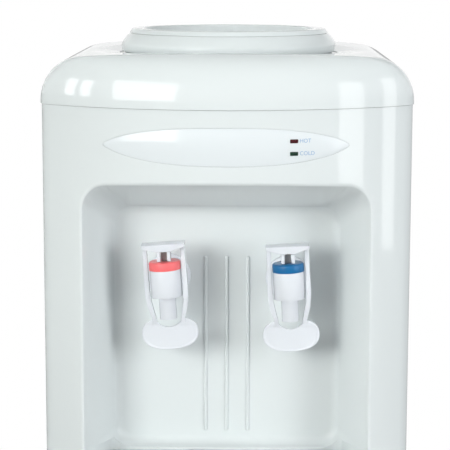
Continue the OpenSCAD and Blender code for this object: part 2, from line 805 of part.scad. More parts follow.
module hot_tank() {
    inlet_z = hot_z0 + hot_inlet_up;
    inlet_y = hot_c[1] + hot_r;
    color(steel) difference() {
        union() {
            translate([hot_c[0], hot_c[1], hot_z0]) cylinder(h = hot_h, r = hot_r);
            translate([hot_port[0], hot_port[1], hot_z1 - 2]) cylinder(h = stub + 2, r = nipple_r);
            rod_y(hot_c[0], inlet_z, nipple_r, inlet_y - 4, inlet_y + stub);
            translate([hot_c[0], hot_c[1], hot_z0 - stub - 2]) cylinder(h = stub + 4, r = nipple_r);
        }
        translate([hot_c[0], hot_c[1], hot_z0 + hot_wall])
            cylinder(h = hot_h - 2 * hot_wall, r = hot_r - hot_wall);
        translate([hot_port[0], hot_port[1], hot_z1 - 4]) cylinder(h = 2 * stub, r = nipple_bore);
        rod_y(hot_c[0], inlet_z, nipple_bore, inlet_y - 10, inlet_y + stub + 4);
        translate([hot_c[0], hot_c[1], hot_z0 - stub - 4]) cylinder(h = 2 * stub, r = nipple_bore);
    }
}

heater_up = 34;
heater_h = 38;
heater_t = 3;
ear_out = 12;
heater_z0 = hot_z0 + heater_up;
module band_heater() {
    x0 = hot_c[0] - hot_r;
    screw_x = x0 - ear_out + 4;
    color("#8d8f90") {
        ring(hot_c[0], hot_c[1], hot_r + 0.1, hot_r + heater_t, heater_z0, heater_z0 + heater_h);
        // Clamp ears and their two screws on the left
        for (s = [-1, 1]) box(x0 - ear_out, x0 - heater_t / 2, hot_c[1] + s * heater_t - 1,
            hot_c[1] + s * heater_t + 1, heater_z0, heater_z0 + heater_h);
        for (z = [heater_z0 + heater_h / 4, heater_z0 + heater_h * 3 / 4])
            rod_y(screw_x, z, heater_t / 2, hot_c[1] - 9, hot_c[1] + 9, $fn = 24);
    }
}

thermostat_r = 7;
thermostat_t = 7;
thermostat_pitch = 16;
module thermostats() {
    x0 = hot_c[0] + hot_r;
    tab = 6;
    color("#202124") for (i = [0, 1]) let (z = heater_z0 + heater_h + 12 + i * thermostat_pitch) {
        rod_x(hot_c[1], z, thermostat_r, x0, x0 + thermostat_t, $fn = 32);
        for (y = [hot_c[1] - 4, hot_c[1] + 4]) box(x0 + thermostat_t - 0.1, x0 + thermostat_t + tab,
            y - 0.4, y + 0.4, z - tab / 2, z + tab / 2);
    }
}

stand_hd = 40;
window_r = 13;
module tank_stand() {
    y0 = hot_c[1] - stand_hd;
    y1 = hot_c[1] + stand_hd;
    color(steel) difference() {
        union() {
            box(-stand_hw, stand_hw, y0, y1, stand_top - plate_t, stand_top);
            for (s = [-1, 1]) {
                box(s * stand_hw - plate_t / 2, s * stand_hw + plate_t / 2, y0, y1, pan_top, stand_top);
                box(s * stand_hw - (s > 0 ? 0 : stand_foot), s * stand_hw + (s > 0 ? stand_foot : 0), y0, y1,
                    pan_top, pan_top + plate_t);
            }
        }
        translate([hot_c[0], hot_c[1], stand_top - 10]) cylinder(h = 20, r = nipple_r + fit);
        // Lightening windows in the legs
        for (y = [hot_c[1] - 18, hot_c[1] + 18])
            rod_x(y, (pan_top + stand_top) / 2, window_r, -stand_hw - 9, stand_hw + 9);
    }
}

// -------------------------------------------------------------------- hoses

hose_wall = 1.7;
hose_in = (nipple_r + slip) / cos(180 / hose_sides);
hose_r = hose_in + hose_wall;
barb_y0 = y_wall + shell_t + 15;
barb_y1 = barb_y0 + 19;
hose_tap_y = barb_y1 - 11;

hose_over = 8;        // how far a hose is pushed over its nipple
module hose_feed() {
    back = hot_c[1] + hot_r + 34;
    z_in = hot_z0 + hot_inlet_up;
    hose([[0, 0, nipple_z + hose_over], [0, 0, nipple_z - 16], [0, back, nipple_z - 28], [0, back, z_in],
        [0, hot_c[1] + hot_r + 2, z_in]], 15);
}

module hose_hot() {
    x = hole_x(-1);
    z = hole_z(-1);
    hose([[x, hose_tap_y, z], [x, barb_y1 + 16, z], [hot_port[0], hot_port[1], z],
        [hot_port[0], hot_port[1], hot_z1 + 2]], 13);
}

module hose_cold() {
    low = nipple_z - 36;
    x = hole_x(1);
    z = hole_z(1);
    hose([[x, hose_tap_y, z], [x, barb_y1 + 14, z], [x, cold_port[1] - 24, low],
        [cold_port[0], cold_port[1], low], [cold_port[0], cold_port[1], nipple_z + hose_over - 1]], 14);
}

drain_y0 = y_rear - 26;
module hose_drain() {
    hose([[hot_c[0], hot_c[1], hot_z0 - plate_t - 3], [hot_c[0], hot_c[1], drain_z],
        [drain_x, drain_y0 + 14, drain_z]], 18);
}

module drain_outlet() {
    color(white) difference() {
        union() {
            rod_y(drain_x, drain_z, nipple_r, drain_y0, y_rear);
            rod_y(drain_x, drain_z, drain_r + 3, y_rear - sheet_t - 3, y_rear - sheet_t - 0.1);
            rod_y(drain_x, drain_z, drain_r, y_rear - sheet_t - 3, y_rear + 5);
        }
        rod_y(drain_x, drain_z, nipple_bore, drain_y0 - cut, y_rear + cut + 6);
    }
}

module drain_cap() {
    cap_r = drain_r + 4;
    color("#e6e9ea") difference() {
        union() {
            rod_y(drain_x, drain_z, cap_r, y_rear + 0.4, y_rear + cap_out);
            // Grip ribs round the cap
            for (i = [0:11]) translate([drain_x, 0, drain_z]) rotate([0, 30 * i, 0])
                rod_y(cap_r, 0, 0.9, y_rear + 0.4, y_rear + cap_out - 1, $fn = 16);
        }
        rod_y(drain_x, drain_z, drain_r + slip, y_rear, y_rear + 6.5);
    }
}

// -------------------------------------------------------------- electronics

board_t = 1.6;
// A block on the board: its corner measured from the board's corner, and its size
module on_board(place, size, z) {
    translate([board_x0 + place[0], board_y0 + place[1], z]) cube(size);
}

module power_board() {
    z = pan_top + board_post_h;
    top = z + board_t - eps;
    can_pitch = 18;
    terminal = [9, 10, 11];
    terminal_pitch = 13;
    color("#2f6b46") box(board_x0, board_x1, board_y0, board_y1, z, z + board_t);
    color("#3a3a3c") {
        on_board([8, 12], [38, 34, 30], top);
        on_board([53, 16], [17, 14, 16], top);
        for (i = [0:2]) translate([board_x0 + 14 + can_pitch * i, board_y0 + 64, top])
            cylinder(h = 22, r = 6.5, $fn = 32);
        for (i = [0:4]) on_board([7 + terminal_pitch * i, board_d - 18], terminal, top);
    }
    color(steel) on_board([10, 77], [54, 2, 26], top);
}

module cord_gland() {
    color("#d5d8da") difference() {
        union() {
            rod_y(gland_x, gland_z, gland_r, y_rear - 9, y_rear + 1);
            rod_y(gland_x, gland_z, gland_r + 3, y_rear, y_rear + 3);
            rod_y(gland_x, gland_z, gland_r + 2, y_rear - 9, y_rear - sheet_t - 0.1);
        }
        rod_y(gland_x, gland_z, 3.6, y_rear - 12, y_rear + 6);
    }
}

sw_pivot_y = y_rear - 1;
rocker_tip = 9;
sw_d = 16;
sw_rim = 1.6;
sw_wall = 1.5;
module switch_housings() {
    color("#26272a") for (z = sw_z) difference() {
        union() {
            box(sw_x - sw_w / 2, sw_x + sw_w / 2, y_rear - sw_d, y_rear + 0.1, z - sw_h / 2, z + sw_h / 2);
            box(sw_x - sw_w / 2 - sw_rim, sw_x + sw_w / 2 + sw_rim, y_rear, y_rear + sw_rim,
                z - sw_h / 2 - sw_rim, z + sw_h / 2 + sw_rim);
            for (dz = [-6, 0, 6])
                box(sw_x - 2.4, sw_x + 2.4, y_rear - sw_d - 8, y_rear - sw_d + 0.1, z + dz - 0.4, z + dz + 0.4);
        }
        box(sw_x - sw_w / 2 + sw_wall, sw_x + sw_w / 2 - sw_wall, y_rear - 11, y_rear + 3,
            z - sw_h / 2 + sw_wall, z + sw_h / 2 - sw_wall);
        rod_x(sw_pivot_y, z, 1.2 + slip, sw_x - sw_w / 2 + 0.5, sw_x + sw_w / 2 - 0.5, $fn = 24);
    }
}

module rocker(z, shade) {
    rx = sw_w / 2 - 1.9;
    along = sw_h / 2 - 2.1;
    color(shade) {
        translate([sw_x - rx, sw_pivot_y, z]) rotate([-rocker_tip, 0, 0]) rotate([0, 90, 0])
            linear_extrude(2 * rx) polygon([[-along, 0.5], [-along, 3.2], [0, 1.9], [along, 3.2], [along, 0.5],
                [2.4, -4.5], [-2.4, -4.5]]);
        rod_x(sw_pivot_y, z, 1.2, sw_x - sw_w / 2 + 0.8, sw_x + sw_w / 2 - 0.8, $fn = 24);
    }
}

// ---------------------------------------------------------------- drip tray

tray_gap = 0.6;
tray_front_r = bow_r + tray_lip;
module tray_form(d, z0, z1) {
    intersection() {
        translate([0, 0, z0]) linear_extrude(z1 - z0) polygon(pocket_plan(tray_gap + d, y_nose - 20));
        translate([0, y_bow, z0]) cylinder(h = z1 - z0, r = tray_front_r - d, $fn = 256);
    }
}

grille_t = 2;
ledge = 3;
module drip_tray() {
    color(white) difference() {
        tray_form(0, shelf_z + 0.2, tray_z);
        tray_form(tray_t, tray_z - grille_t, tray_z + cut);
        tray_form(tray_t + ledge, shelf_z + 0.2 + tray_t, tray_z + cut);
        // Finger scoop under the lip
        rod_x(y_nose - tray_lip, shelf_z - 2, 8, -28, 28);
    }
}

grille_pitch_x = 8;
module drip_grille() {
    color(white) difference() {
        tray_form(tray_t + 0.3, tray_z - grille_t, tray_z);
        for (i = [-13:13]) let (x = i * grille_pitch_x,
                y1 = min(tray_back - 12, tray_back - 10 - max(0, abs(x) - 92) * 1.6),
                y0 = bow_y(x, tray_front_r) + 11)
            if (y1 - y0 > 12) {
                box(x - 2, x + 2, y0 + 2, y1 - 2, tray_z - grille_t - cut, tray_z + cut);
                for (y = [y0 + 2, y1 - 2]) translate([x, y, tray_z - grille_t - cut])
                    cylinder(h = grille_t + 2 * cut, r = 2, $fn = 24);
            }
    }
}

// --------------------------------------------------------------------- taps

// Places on a tap, measured from the crossing of its barrel and its shank
barrel_top = 12;
barrel_low = -11;
spout_low = -30;
cap_top = 19.2;
cap_room = cap_top - 1.9;
cap_r = barrel_r + 0.3;
neck_out = barrel_r - 1.6;
chamber_r = barrel_r - 3;
seat_z = -7;
collar_top = seat_z + 8.2;
spout_bore = spout_r - 2;
pin_up = 8.5;
pin_z = cap_top + pin_up;
pin_r = 1.1;
stem_r = 2.4;
plate_z = 34.5;
prong_in = 2.8;
prong_out = 5.8;
arm_out = 18.2;
arm_t = 4.2;
scoop_hw = 9.8;
paddle_front = 0.5;
paddle_t = 3;
paddle_r = 65;
paddle_z = spout_low + 1 - paddle_h / 2;

module place_tap(side) {
    translate([hole_x(side), y_tap, hole_z(side)]) rotate([0, side < 0 ? -hot_turn : -cold_turn, 0]) children();
}

module tap_body() {
    color(white) difference() {
        union() {
            translate([0, 0, barrel_low]) cylinder(h = barrel_top - barrel_low, r = barrel_r);
            translate([0, 0, barrel_top - eps]) cylinder(h = cap_room - barrel_top - 0.25, r = neck_out);
            translate([0, 0, spout_low]) cylinder(h = barrel_low - spout_low + eps, r = spout_r);
            rod_y(0, 0, shank_r, 0, barb_y0 - y_tap);
            rod_y(0, 0, nipple_r, barb_y0 - y_tap - eps, barb_y1 - y_tap);
        }
        translate([0, 0, seat_z]) cylinder(h = 40, r = chamber_r);
        translate([0, 0, spout_low - cut]) cylinder(h = 40, r = spout_bore);
        rod_y(0, 0, nipple_bore, 0, barb_y1 - y_tap + cut);
    }
}

module tap_cap() {
    difference() {
        union() {
            translate([0, 0, barrel_top + 0.1]) cylinder(h = cap_top - barrel_top - 1.1, r = cap_r);
            translate([0, 0, cap_top - 1.01]) cylinder(h = 1.01, r1 = cap_r, r2 = cap_r - 1);
        }
        translate([0, 0, barrel_top - cut]) cylinder(h = cap_room - barrel_top + cut, r = neck_out + 0.1);
        translate([0, 0, barrel_top]) cylinder(h = 20, r = stem_r + 0.4);
    }
}

module tap_stem() {
    color("#b9b4ac") difference() {
        union() {
            translate([0, 0, seat_z + 3]) cylinder(h = cap_top + 1 - seat_z, r = stem_r);
            translate([0, 0, collar_top - 1.6]) cylinder(h = 1.6, r = 7);
            box(-prong_in + 0.3, prong_in - 0.3, -stem_r, stem_r, cap_top + 1, pin_z + 2.6);
        }
        rod_x(0, pin_z, pin_r + slip, -5, 5, $fn = 32);
    }
}

module tap_plug() {
    plug_r = chamber_r - 1.2;
    color("#d9dcda") difference() {
        translate([0, 0, seat_z + 0.15]) cylinder(h = 6.3, r = plug_r);
        translate([0, 0, seat_z + 3]) cylinder(h = 10, r = stem_r + 0.02);
    }
}

module tap_pin() {
    color(steel) rod_x(0, pin_z, pin_r, -prong_out - 0.8, prong_out + 0.8, $fn = 32);
}

// Compression spring: a round wire swept along a helix
spring_turns = 5;
spring_r = 5.4;
wire_r = 0.55;
spring_z0 = collar_top + wire_r + 0.1;
spring_z1 = cap_room - wire_r - 0.1;
spring_steps = 16 * spring_turns;

module tap_spring() {
    across = [for (i = [0:spring_steps]) [cos(22.5 * i), sin(22.5 * i), 0]];
    rise = [0, 0, (spring_z1 - spring_z0) / spring_steps];
    color(steel) swept([for (i = [0:spring_steps]) [0, 0, spring_z0] + spring_r * across[i] + i * rise],
        wire_r, 6, across);
}

// Front view of an arm: from the top plate down to the paddle's shoulder
function arm_outline(s) = [for (p = [
    [arm_out - 0.8, plate_z], [arm_out - 0.4, 15], [arm_out, -3], [arm_out - 0.3, -11],
    [arm_out - 1.4, -19.5], [arm_out - 3, -25], [arm_out - 4.4, -29.5], [arm_out - 4.4, -38],
    [scoop_hw, -38], [scoop_hw, -33.6], [scoop_hw + 0.7, -28.5], [scoop_hw + 2, -23],
    [scoop_hw + 3.4, -15], [arm_out - arm_t, -5], [arm_out - arm_t, plate_z]]) [s * p[0], p[1]]];

// Side view of an arm: its front slopes back until it is flush with the paddle
arm_side = [[-4, plate_z], [-4, -12], [-3, -19], [-1, -27], [1.4, -34], [2.2, -38],
    [4.8, -38], [4.6, -26], [3.5, -12], [3.5, plate_z]];

function paddle_outline() = concat(
    [for (i = [-4:4]) let (u = i / 4) [scoop_hw * u, -33.6 - 4.2 * (1 - u * u)]],
    [for (i = [0:26]) let (t = 62 - 304 * i / 26, c = cos(t), s = sin(t))
        [paddle_hw * sign(c) * pow(abs(c), 0.8),
         paddle_z + paddle_h / 2 * sign(s) * pow(abs(s), s < 0 ? 0.72 : 0.9)]]);

module tap_lever() {
    color(white) difference() {
        union() {
            // Top plate with its V-shaped gusset
            along_y(-11, 7) polygon([[-arm_out, plate_z], [arm_out, plate_z], [arm_out, plate_z - 2.6],
                [prong_out, plate_z - 6.4], [-prong_out, plate_z - 6.4], [-arm_out, plate_z - 2.6]]);
            // Prongs with a round cam foot
            for (s = [-1, 1]) difference() {
                union() {
                    box(s > 0 ? prong_in : -prong_out, s > 0 ? prong_out : -prong_in,
                        -7, 2.6, pin_z - 1, plate_z - 5);
                    intersection() {
                        rod_x(-cam_e, pin_z, pin_up - 0.25,
                            s > 0 ? prong_in : -prong_out, s > 0 ? prong_out : -prong_in);
                        box(-20, 20, -9.5, 2.6, cap_top - 1, plate_z - 3);
                    }
                }
            }
            // Arms
            for (s = [-1, 1]) intersection() {
                along_y(-10, 10) polygon(arm_outline(s));
                translate([-arm_out, 0, 0]) rotate([90, 0, 90]) linear_extrude(2 * arm_out) polygon(arm_side);
            }
            // Paddle, a slightly dished plate
            intersection() {
                along_y(-6, 14) polygon(paddle_outline());
                difference() {
                    translate([0, paddle_front + paddle_r, -80]) cylinder(h = 60, r = paddle_r, $fn = 128);
                    translate([0, paddle_front + paddle_r, -81])
                        cylinder(h = 62, r = paddle_r - paddle_t, $fn = 128);
                }
            }
        }
        rod_x(0, pin_z, pin_r + slip, -20, 20, $fn = 32);
        // Room for the stem head between the prongs
        box(-prong_in, prong_in, -3.4, 3.4, cap_top - 1, pin_z + 3.4);
    }
}

module tap_rose() {
    color(white) translate([0, tap_reach, 0]) rotate([90, 0, 0]) rotate_extrude($fn = 96)
        polygon([[shank_r + slip, 0], [rose_r, 0], [rose_r, 1.4], [rose_r - 0.8, 2.4],
            [rose_r - 3, 3], [shank_r + 3, 3.4], [shank_r + slip, 3.4]]);
}

gasket_t = 2;
module tap_gaskets() {
    color("#3a3a3a") for (s = [-1, 1]) translate([hole_x(s), y_wall + shell_t, hole_z(s)]) rotate([-90, 0, 0])
        ring(0, 0, shank_r + slip, shank_r + 7, 0, gasket_t);
}

module tap_nuts() {
    nut_t = 8;
    color(white) for (s = [-1, 1])
        translate([hole_x(s), y_wall + shell_t + gasket_t, hole_z(s)]) rotate([-90, 0, 0]) difference() {
            cylinder(h = nut_t, r = shank_r + 6.5, $fn = 6);
            translate([0, 0, -cut]) cylinder(h = nut_t + 2 * cut, r = shank_r + slip);
        }
}

// ------------------------------------------------------------ one per node

base_pan();
rubber_feet();
front_panel();
side_panel(-1);  // side_panel_left
side_panel(1);  // side_panel_right
rear_panel();
lid();
display_badge();
indicator(hot_lamp_z, "#6e1016");  // indicator_hot
indicator(cold_lamp_z, "#2b5a35");  // indicator_cold
lamp_board();
collar_ring();
seat_insert();
seat_seal();
cold_tank();
cold_tank_cover();
cold_tank_foam();
baffle_disc();
tank_shelf();
cold_block();
peltier_module();
heat_sink();
fan_frame();
fan_rotor();
hot_tank();
band_heater();
thermostats();
tank_stand();
hose_feed();
hose_hot();
hose_cold();
hose_drain();
drain_outlet();
drain_cap();
power_board();
cord_gland();
switch_housings();
rocker(sw_z[0], "#b3261e");  // rocker_heat
rocker(sw_z[1], "#2c8a3f");  // rocker_cool
drip_tray();
drip_grille();
case_screws();
tap_nuts();
tap_gaskets();
place_tap(-1) tap_body();  // tap_hot_body
place_tap(-1) color("#fb6f70") tap_cap();  // tap_hot_cap
place_tap(-1) tap_stem();  // tap_hot_stem
place_tap(-1) tap_plug();  // tap_hot_plug
place_tap(-1) tap_spring();  // tap_hot_spring
place_tap(-1) tap_pin();  // tap_hot_pin
place_tap(-1) tap_lever();  // tap_hot_lever
place_tap(-1) tap_rose();  // tap_hot_rose
place_tap(1) tap_body();  // tap_cold_body
place_tap(1) color("#1f6fad") tap_cap();  // tap_cold_cap
place_tap(1) tap_stem();  // tap_cold_stem
place_tap(1) tap_plug();  // tap_cold_plug
place_tap(1) tap_spring();  // tap_cold_spring
place_tap(1) tap_pin();  // tap_cold_pin
place_tap(1) tap_lever();  // tap_cold_lever
place_tap(1) tap_rose();  // tap_cold_rose
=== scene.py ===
import json
import math
from contextlib import contextmanager

import bmesh
import bpy
from mathutils import Matrix, Vector


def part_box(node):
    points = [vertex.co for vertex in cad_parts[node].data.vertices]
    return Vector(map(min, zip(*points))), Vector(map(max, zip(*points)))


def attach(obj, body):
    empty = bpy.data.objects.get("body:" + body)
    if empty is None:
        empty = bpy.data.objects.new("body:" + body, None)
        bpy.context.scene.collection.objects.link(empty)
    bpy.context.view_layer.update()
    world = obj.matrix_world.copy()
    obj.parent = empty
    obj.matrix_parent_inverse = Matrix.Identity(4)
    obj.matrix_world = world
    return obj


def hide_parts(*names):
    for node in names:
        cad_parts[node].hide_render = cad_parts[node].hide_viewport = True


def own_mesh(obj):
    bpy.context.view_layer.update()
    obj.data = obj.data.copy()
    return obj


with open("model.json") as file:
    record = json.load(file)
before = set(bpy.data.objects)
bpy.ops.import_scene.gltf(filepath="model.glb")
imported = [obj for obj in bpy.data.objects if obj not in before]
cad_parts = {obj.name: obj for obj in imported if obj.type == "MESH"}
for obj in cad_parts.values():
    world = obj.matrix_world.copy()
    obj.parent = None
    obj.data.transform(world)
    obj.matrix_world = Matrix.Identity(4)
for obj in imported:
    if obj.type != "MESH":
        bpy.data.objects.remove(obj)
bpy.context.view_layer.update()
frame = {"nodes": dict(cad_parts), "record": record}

MM = 0.001
RECORD = frame["record"]
SLOT_OF = {part["node"]: part["material_slot"] for part in RECORD["subparts"]}
BODY_OF = {node: body for body, nodes in RECORD["behaviour"]["bodies"].items() for node in nodes}

# ------------------------------------------------------------------ the sizes

PANEL_LOW, PANEL_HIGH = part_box("front_panel")
LID_LOW, LID_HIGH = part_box("lid")
HALF_WIDTH = PANEL_HIGH.x
NOSE = PANEL_LOW.y
REAR = LID_HIGH.y
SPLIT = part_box("side_panel_right")[0].y
SHELL = 2.5 * MM
PANEL_GAP = 0.4 * MM
SEAM = LID_LOW.z + 9 * MM
SEAM_GAP = 0.35 * MM
BOW_RADIUS = 230 * MM
CORNER_RADIUS = 22 * MM

# The alcove
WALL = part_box("tap_hot_rose")[1].y
TRAY_LOW, TRAY_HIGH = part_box("drip_tray")
MOUTH_HALF = 119.5 * MM
WALL_HALF = 95 * MM
WALL_LOW = TRAY_HIGH.z + 3.5 * MM
WALL_TOP = WALL_LOW + 206 * MM
LIP = WALL_TOP + 30.4 * MM
MOUTH_LOW = WALL_LOW - 15 * MM
MOUTH_CORNER = 20 * MM
LIP_SLOPE = 0.1386
POCKET_LOW = TRAY_LOW.z - 0.2 * MM
POCKET_HIGH = TRAY_HIGH.z + 10 * MM
POCKET_BACK = TRAY_HIGH.y + 0.6 * MM

# The lid
CROWN = LID_HIGH.z
LID_HALF = LID_HIGH.x
LID_NOSE = LID_LOW.y
LID_OVER = LID_HALF - HALF_WIDTH
LID_FLAT_TOP = CROWN - 3.6 * MM
CROWN_RISE = CROWN - LID_FLAT_TOP
SHOULDER_RADIUS = 37.5 * MM
REAR_RADIUS = 12 * MM
REAR_SOFTENING = 30 * MM
LEAN = 25 * MM
LEAN_SHARE = 1.062
LEAN_POWER = 2.9
REAR_LEAN = 0.3
DISH_FLOOR = CROWN - 5.8 * MM
DISH_RADIUS = 96 * MM
DISH_HOLE = 79 * MM
# The deck falls softly towards the dish
DISH_FALL = 3 * MM
DISH_FLARE = 32 * MM
# How far apart the deck's rows of vertices lie, from front to rear
DECK_STEP = 7 * MM


def bow(x, half=HALF_WIDTH, grow=0.0):
    """How far the front of a footprint lies behind its nose, at x from the middle. The
    footprint has its own half width, and its radii may be those of a larger one."""
    radius, corner = BOW_RADIUS + grow, CORNER_RADIUS + grow
    x = min(abs(x), half)
    centre_x = half - corner
    centre_y = radius - math.sqrt((radius - corner) ** 2 - centre_x ** 2)
    turn = math.atan2(radius - centre_y, centre_x)
    if x <= radius * math.cos(turn):
        return radius - math.sqrt(radius ** 2 - x ** 2)
    return centre_y - math.sqrt(max(0, corner ** 2 - (x - centre_x) ** 2))


def columns(half=HALF_WIDTH, step=6 * MM):
    """Places across the front where a mesh needs an edge to follow the bow and its tight corners."""
    flat = half - 1.25 * CORNER_RADIUS
    count = int(flat / step)
    places = [flat * i / count for i in range(count + 1)]
    places += [flat + (half - flat) * math.sin(math.radians(a)) for a in range(9, 90, 9)]
    return [-x for x in places[:0:-1]] + places


def clamp(value, low=0.0, high=1.0):
    return max(low, min(high, value))


# ---------------------------------------------------------- modelling by hand


def nothing_selected():
    if bpy.context.object and bpy.context.object.mode != "OBJECT":
        bpy.ops.object.mode_set(mode="OBJECT")
    bpy.ops.object.select_all(action="DESELECT")


def only(piece):
    nothing_selected()
    piece.select_set(True)
    bpy.context.view_layer.objects.active = piece


@contextmanager
def editing(piece):
    """Edit mode on one piece, with nothing selected at first."""
    only(piece)
    bpy.ops.object.mode_set(mode="EDIT")
    bpy.ops.mesh.select_mode(type="FACE")
    bpy.ops.mesh.select_all(action="DESELECT")
    yield
    bpy.ops.object.mode_set(mode="OBJECT")


def select(piece, kind, test):
    """Selects the vertices, edges or faces of a piece in edit mode that pass a test."""
    bpy.ops.mesh.select_mode(type={"verts": "VERT", "edges": "EDGE", "faces": "FACE"}[kind])
    bpy.ops.mesh.select_all(action="DESELECT")
    mesh = bmesh.from_edit_mesh(piece.data)
    for part in getattr(mesh, kind):
        if test(part):
            part.select_set(True)
    mesh.select_flush_mode()
    bmesh.update_edit_mesh(piece.data)


def ends(test):
    """A test on an edge or face that all of its vertices have to pass."""
    return lambda part: all(test(v.co) for v in part.verts)


def placed(name):
    """The new object, named, with its place moved into its mesh."""
    piece = bpy.context.object
    piece.name = name
    bpy.ops.object.transform_apply(location=True, rotation=True, scale=True)
    return piece


def block(name, low, high):
    nothing_selected()
    low, high = Vector(low), Vector(high)
    bpy.ops.mesh.primitive_cube_add(size=1, location=(low + high) / 2, scale=high - low)
    return placed(name)


def rod(name, centre, radius, low, high, vertices=96):
    nothing_selected()
    bpy.ops.mesh.primitive_cylinder_add(
        vertices=vertices, radius=radius, depth=high - low, location=(centre[0], centre[1], (low + high) / 2))
    return placed(name)


def modify(piece, kind, **settings):
    only(piece)
    modifier = piece.modifiers.new(kind.lower(), kind)
    for name, value in settings.items():
        setattr(modifier, name, value)
    bpy.ops.object.modifier_apply(modifier=modifier.name)


def combine(piece, other, operation="DIFFERENCE"):
    modify(piece, "BOOLEAN", object=other, operation=operation, solver="EXACT")
    bpy.data.objects.remove(other)


def slice_at(piece, axis, places):
    """Cuts new edges through a piece at each place along an axis."""
    normal = Vector((0, 0, 0))
    normal["xyz".index(axis)] = 1
    with editing(piece):
        for place in places:
            bpy.ops.mesh.select_all(action="SELECT")
            bpy.ops.mesh.bisect(plane_co=normal * place, plane_no=normal, threshold=1e-6)


def delete_faces(piece, test):
    with editing(piece):
        select(piece, "faces", test)
        bpy.ops.mesh.delete(type="FACE")


def reshape(piece, rule):
    for vertex in piece.data.vertices:
        vertex.co = rule(vertex.co.copy())
    piece.data.update()


def smooth(piece, angle=35):
    only(piece)
    bpy.ops.object.shade_smooth_by_angle(angle=math.radians(angle))


def join(piece, *others):
    nothing_selected()
    for other in others:
        other.select_set(True)
    piece.select_set(True)
    bpy.context.view_layer.objects.active = piece
    bpy.ops.object.join()
    return piece


def show(piece, material, *nodes):
    """The finished piece stands for CAD nodes, rides with their body and takes their slot."""
    piece.data.materials.clear()
    piece.data.materials.append(material)
    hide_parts(*nodes)
    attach(piece, BODY_OF[nodes[0]])
    return piece


# -------------------------------------------------------------- the materials


class Wire:
    """An output in a material's tree, with the arithmetic that its patterns need."""

    def __init__(self, finish, socket):
        self.finish, self.socket = finish, socket

    def math(self, operation, *values):
        return self.finish.node("ShaderNodeMath", {"operation": operation}, dict(enumerate(values)))

    def __add__(self, other):
        return self.math("ADD", self, other)

    def __mul__(self, other):
        return self.math("MULTIPLY", self, other)


class Finish:
    """A material and the nodes that make its pattern."""

    def __init__(self, name, **shader):
        self.material = bpy.data.materials.new(name)
        self.material.use_nodes = True
        self.tree = self.material.node_tree
        self.shader = self.tree.nodes["Principled BSDF"]
        for socket, value in shader.items():
            self.shader.inputs[socket.replace("_", " ")].default_value = value

    def node(self, kind, settings=None, sockets=None, output=0):
        node = self.tree.nodes.new(kind)
        for name, value in (settings or {}).items():
            setattr(node, name, value)
        for name, value in (sockets or {}).items():
            self.put(node.inputs[name], value)
        return Wire(self, node.outputs[output])

    def put(self, socket, value):
        if isinstance(value, Wire):
            self.tree.links.new(value.socket, socket)
        else:
            socket.default_value = value

    def set(self, socket, value):
        self.put(self.shader.inputs[socket], value)

    def place(self):
        return self.node("ShaderNodeTexCoord", output="Object")

    def noise(self, scale, detail=2.0, roughness=0.5, vector=None):
        sockets = {"Scale": scale, "Detail": detail, "Roughness": roughness, "Vector": vector or self.place()}
        return self.node("ShaderNodeTexNoise", {}, sockets, "Fac")

    def mix(self, factor, first, second):
        return self.node("ShaderNodeMix", {"data_type": "RGBA"}, {0: factor, 6: first, 7: second}, 2)

    def bump(self, height, distance, strength=1.0):
        sockets = {"Height": height, "Distance": distance, "Strength": strength}
        self.set("Normal", self.node("ShaderNodeBump", {}, sockets))


def linear(red, green, blue):
    """A colour given as 0 to 255 in sRGB."""
    def decode(c):
        c /= 255
        return c / 12.92 if c <= 0.04045 else ((c + 0.055) / 1.055) ** 2.4
    return (decode(red), decode(green), decode(blue), 1.0)


def moulded(name, colour, roughness=0.16, shade=0.985, grain=0.00002, ripple=0.0):
    """Gloss moulding: a faint drift in tone, uneven gloss and a fine texture from the mould."""
    finish = Finish(name, Specular_IOR_Level=0.5)
    drift = finish.noise(9, 3)
    finish.set("Base Color", finish.mix(drift, tuple(c * shade for c in colour[:3]) + (1,), colour))
    fine = finish.noise(420, 3)
    finish.set("Roughness", finish.noise(26, 4) * 0.05 + (roughness - 0.025))
    height = fine * grain
    if ripple:
        height = height + finish.noise(34, 1) * ripple
    finish.bump(height, 1.0, 0.35)
    return finish.material


def powder_coat(name, colour):
    """Sprayed steel: a low orange peel under a smooth gloss."""
    finish = Finish(name, Specular_IOR_Level=0.5)
    peel = finish.noise(700, 1)
    finish.set("Base Color", finish.mix(finish.noise(7, 3), tuple(c * 0.98 for c in colour[:3]) + (1,), colour))
    finish.set("Roughness", finish.noise(60, 3) * 0.08 + 0.24)
    finish.bump(peel * 0.00001, 1.0, 0.4)
    return finish.material


def brushed(name, colour, roughness=0.3, along=(1, 1, 40)):
    """Metal with fine lines along one direction."""
    finish = Finish(name, Metallic=1.0)
    stretch = finish.node("ShaderNodeMapping", {}, {"Vector": finish.place(), "Scale": along}, "Vector")
    lines = finish.noise(60, 4, 0.6, stretch)
    finish.set("Base Color", finish.mix(lines, tuple(c * 0.85 for c in colour[:3]) + (1,), colour))
    finish.set("Roughness", lines * 0.18 + (roughness - 0.09))
    finish.bump(lines * 0.00002, 1.0, 0.4)
    return finish.material


def matt(name, colour, roughness=0.6, grain=0.00005, scale=700):
    """Dull moulding or rubber with a spark-eroded grain."""
    finish = Finish(name, Specular_IOR_Level=0.4)
    grit = finish.noise(scale, 3)
    finish.set("Base Color", finish.mix(finish.noise(40, 4), tuple(c * 0.8 for c in colour[:3]) + (1,), colour))
    finish.set("Roughness", grit * 0.15 + (roughness - 0.07))
    finish.bump(grit * grain, 1.0, 0.6)
    return finish.material


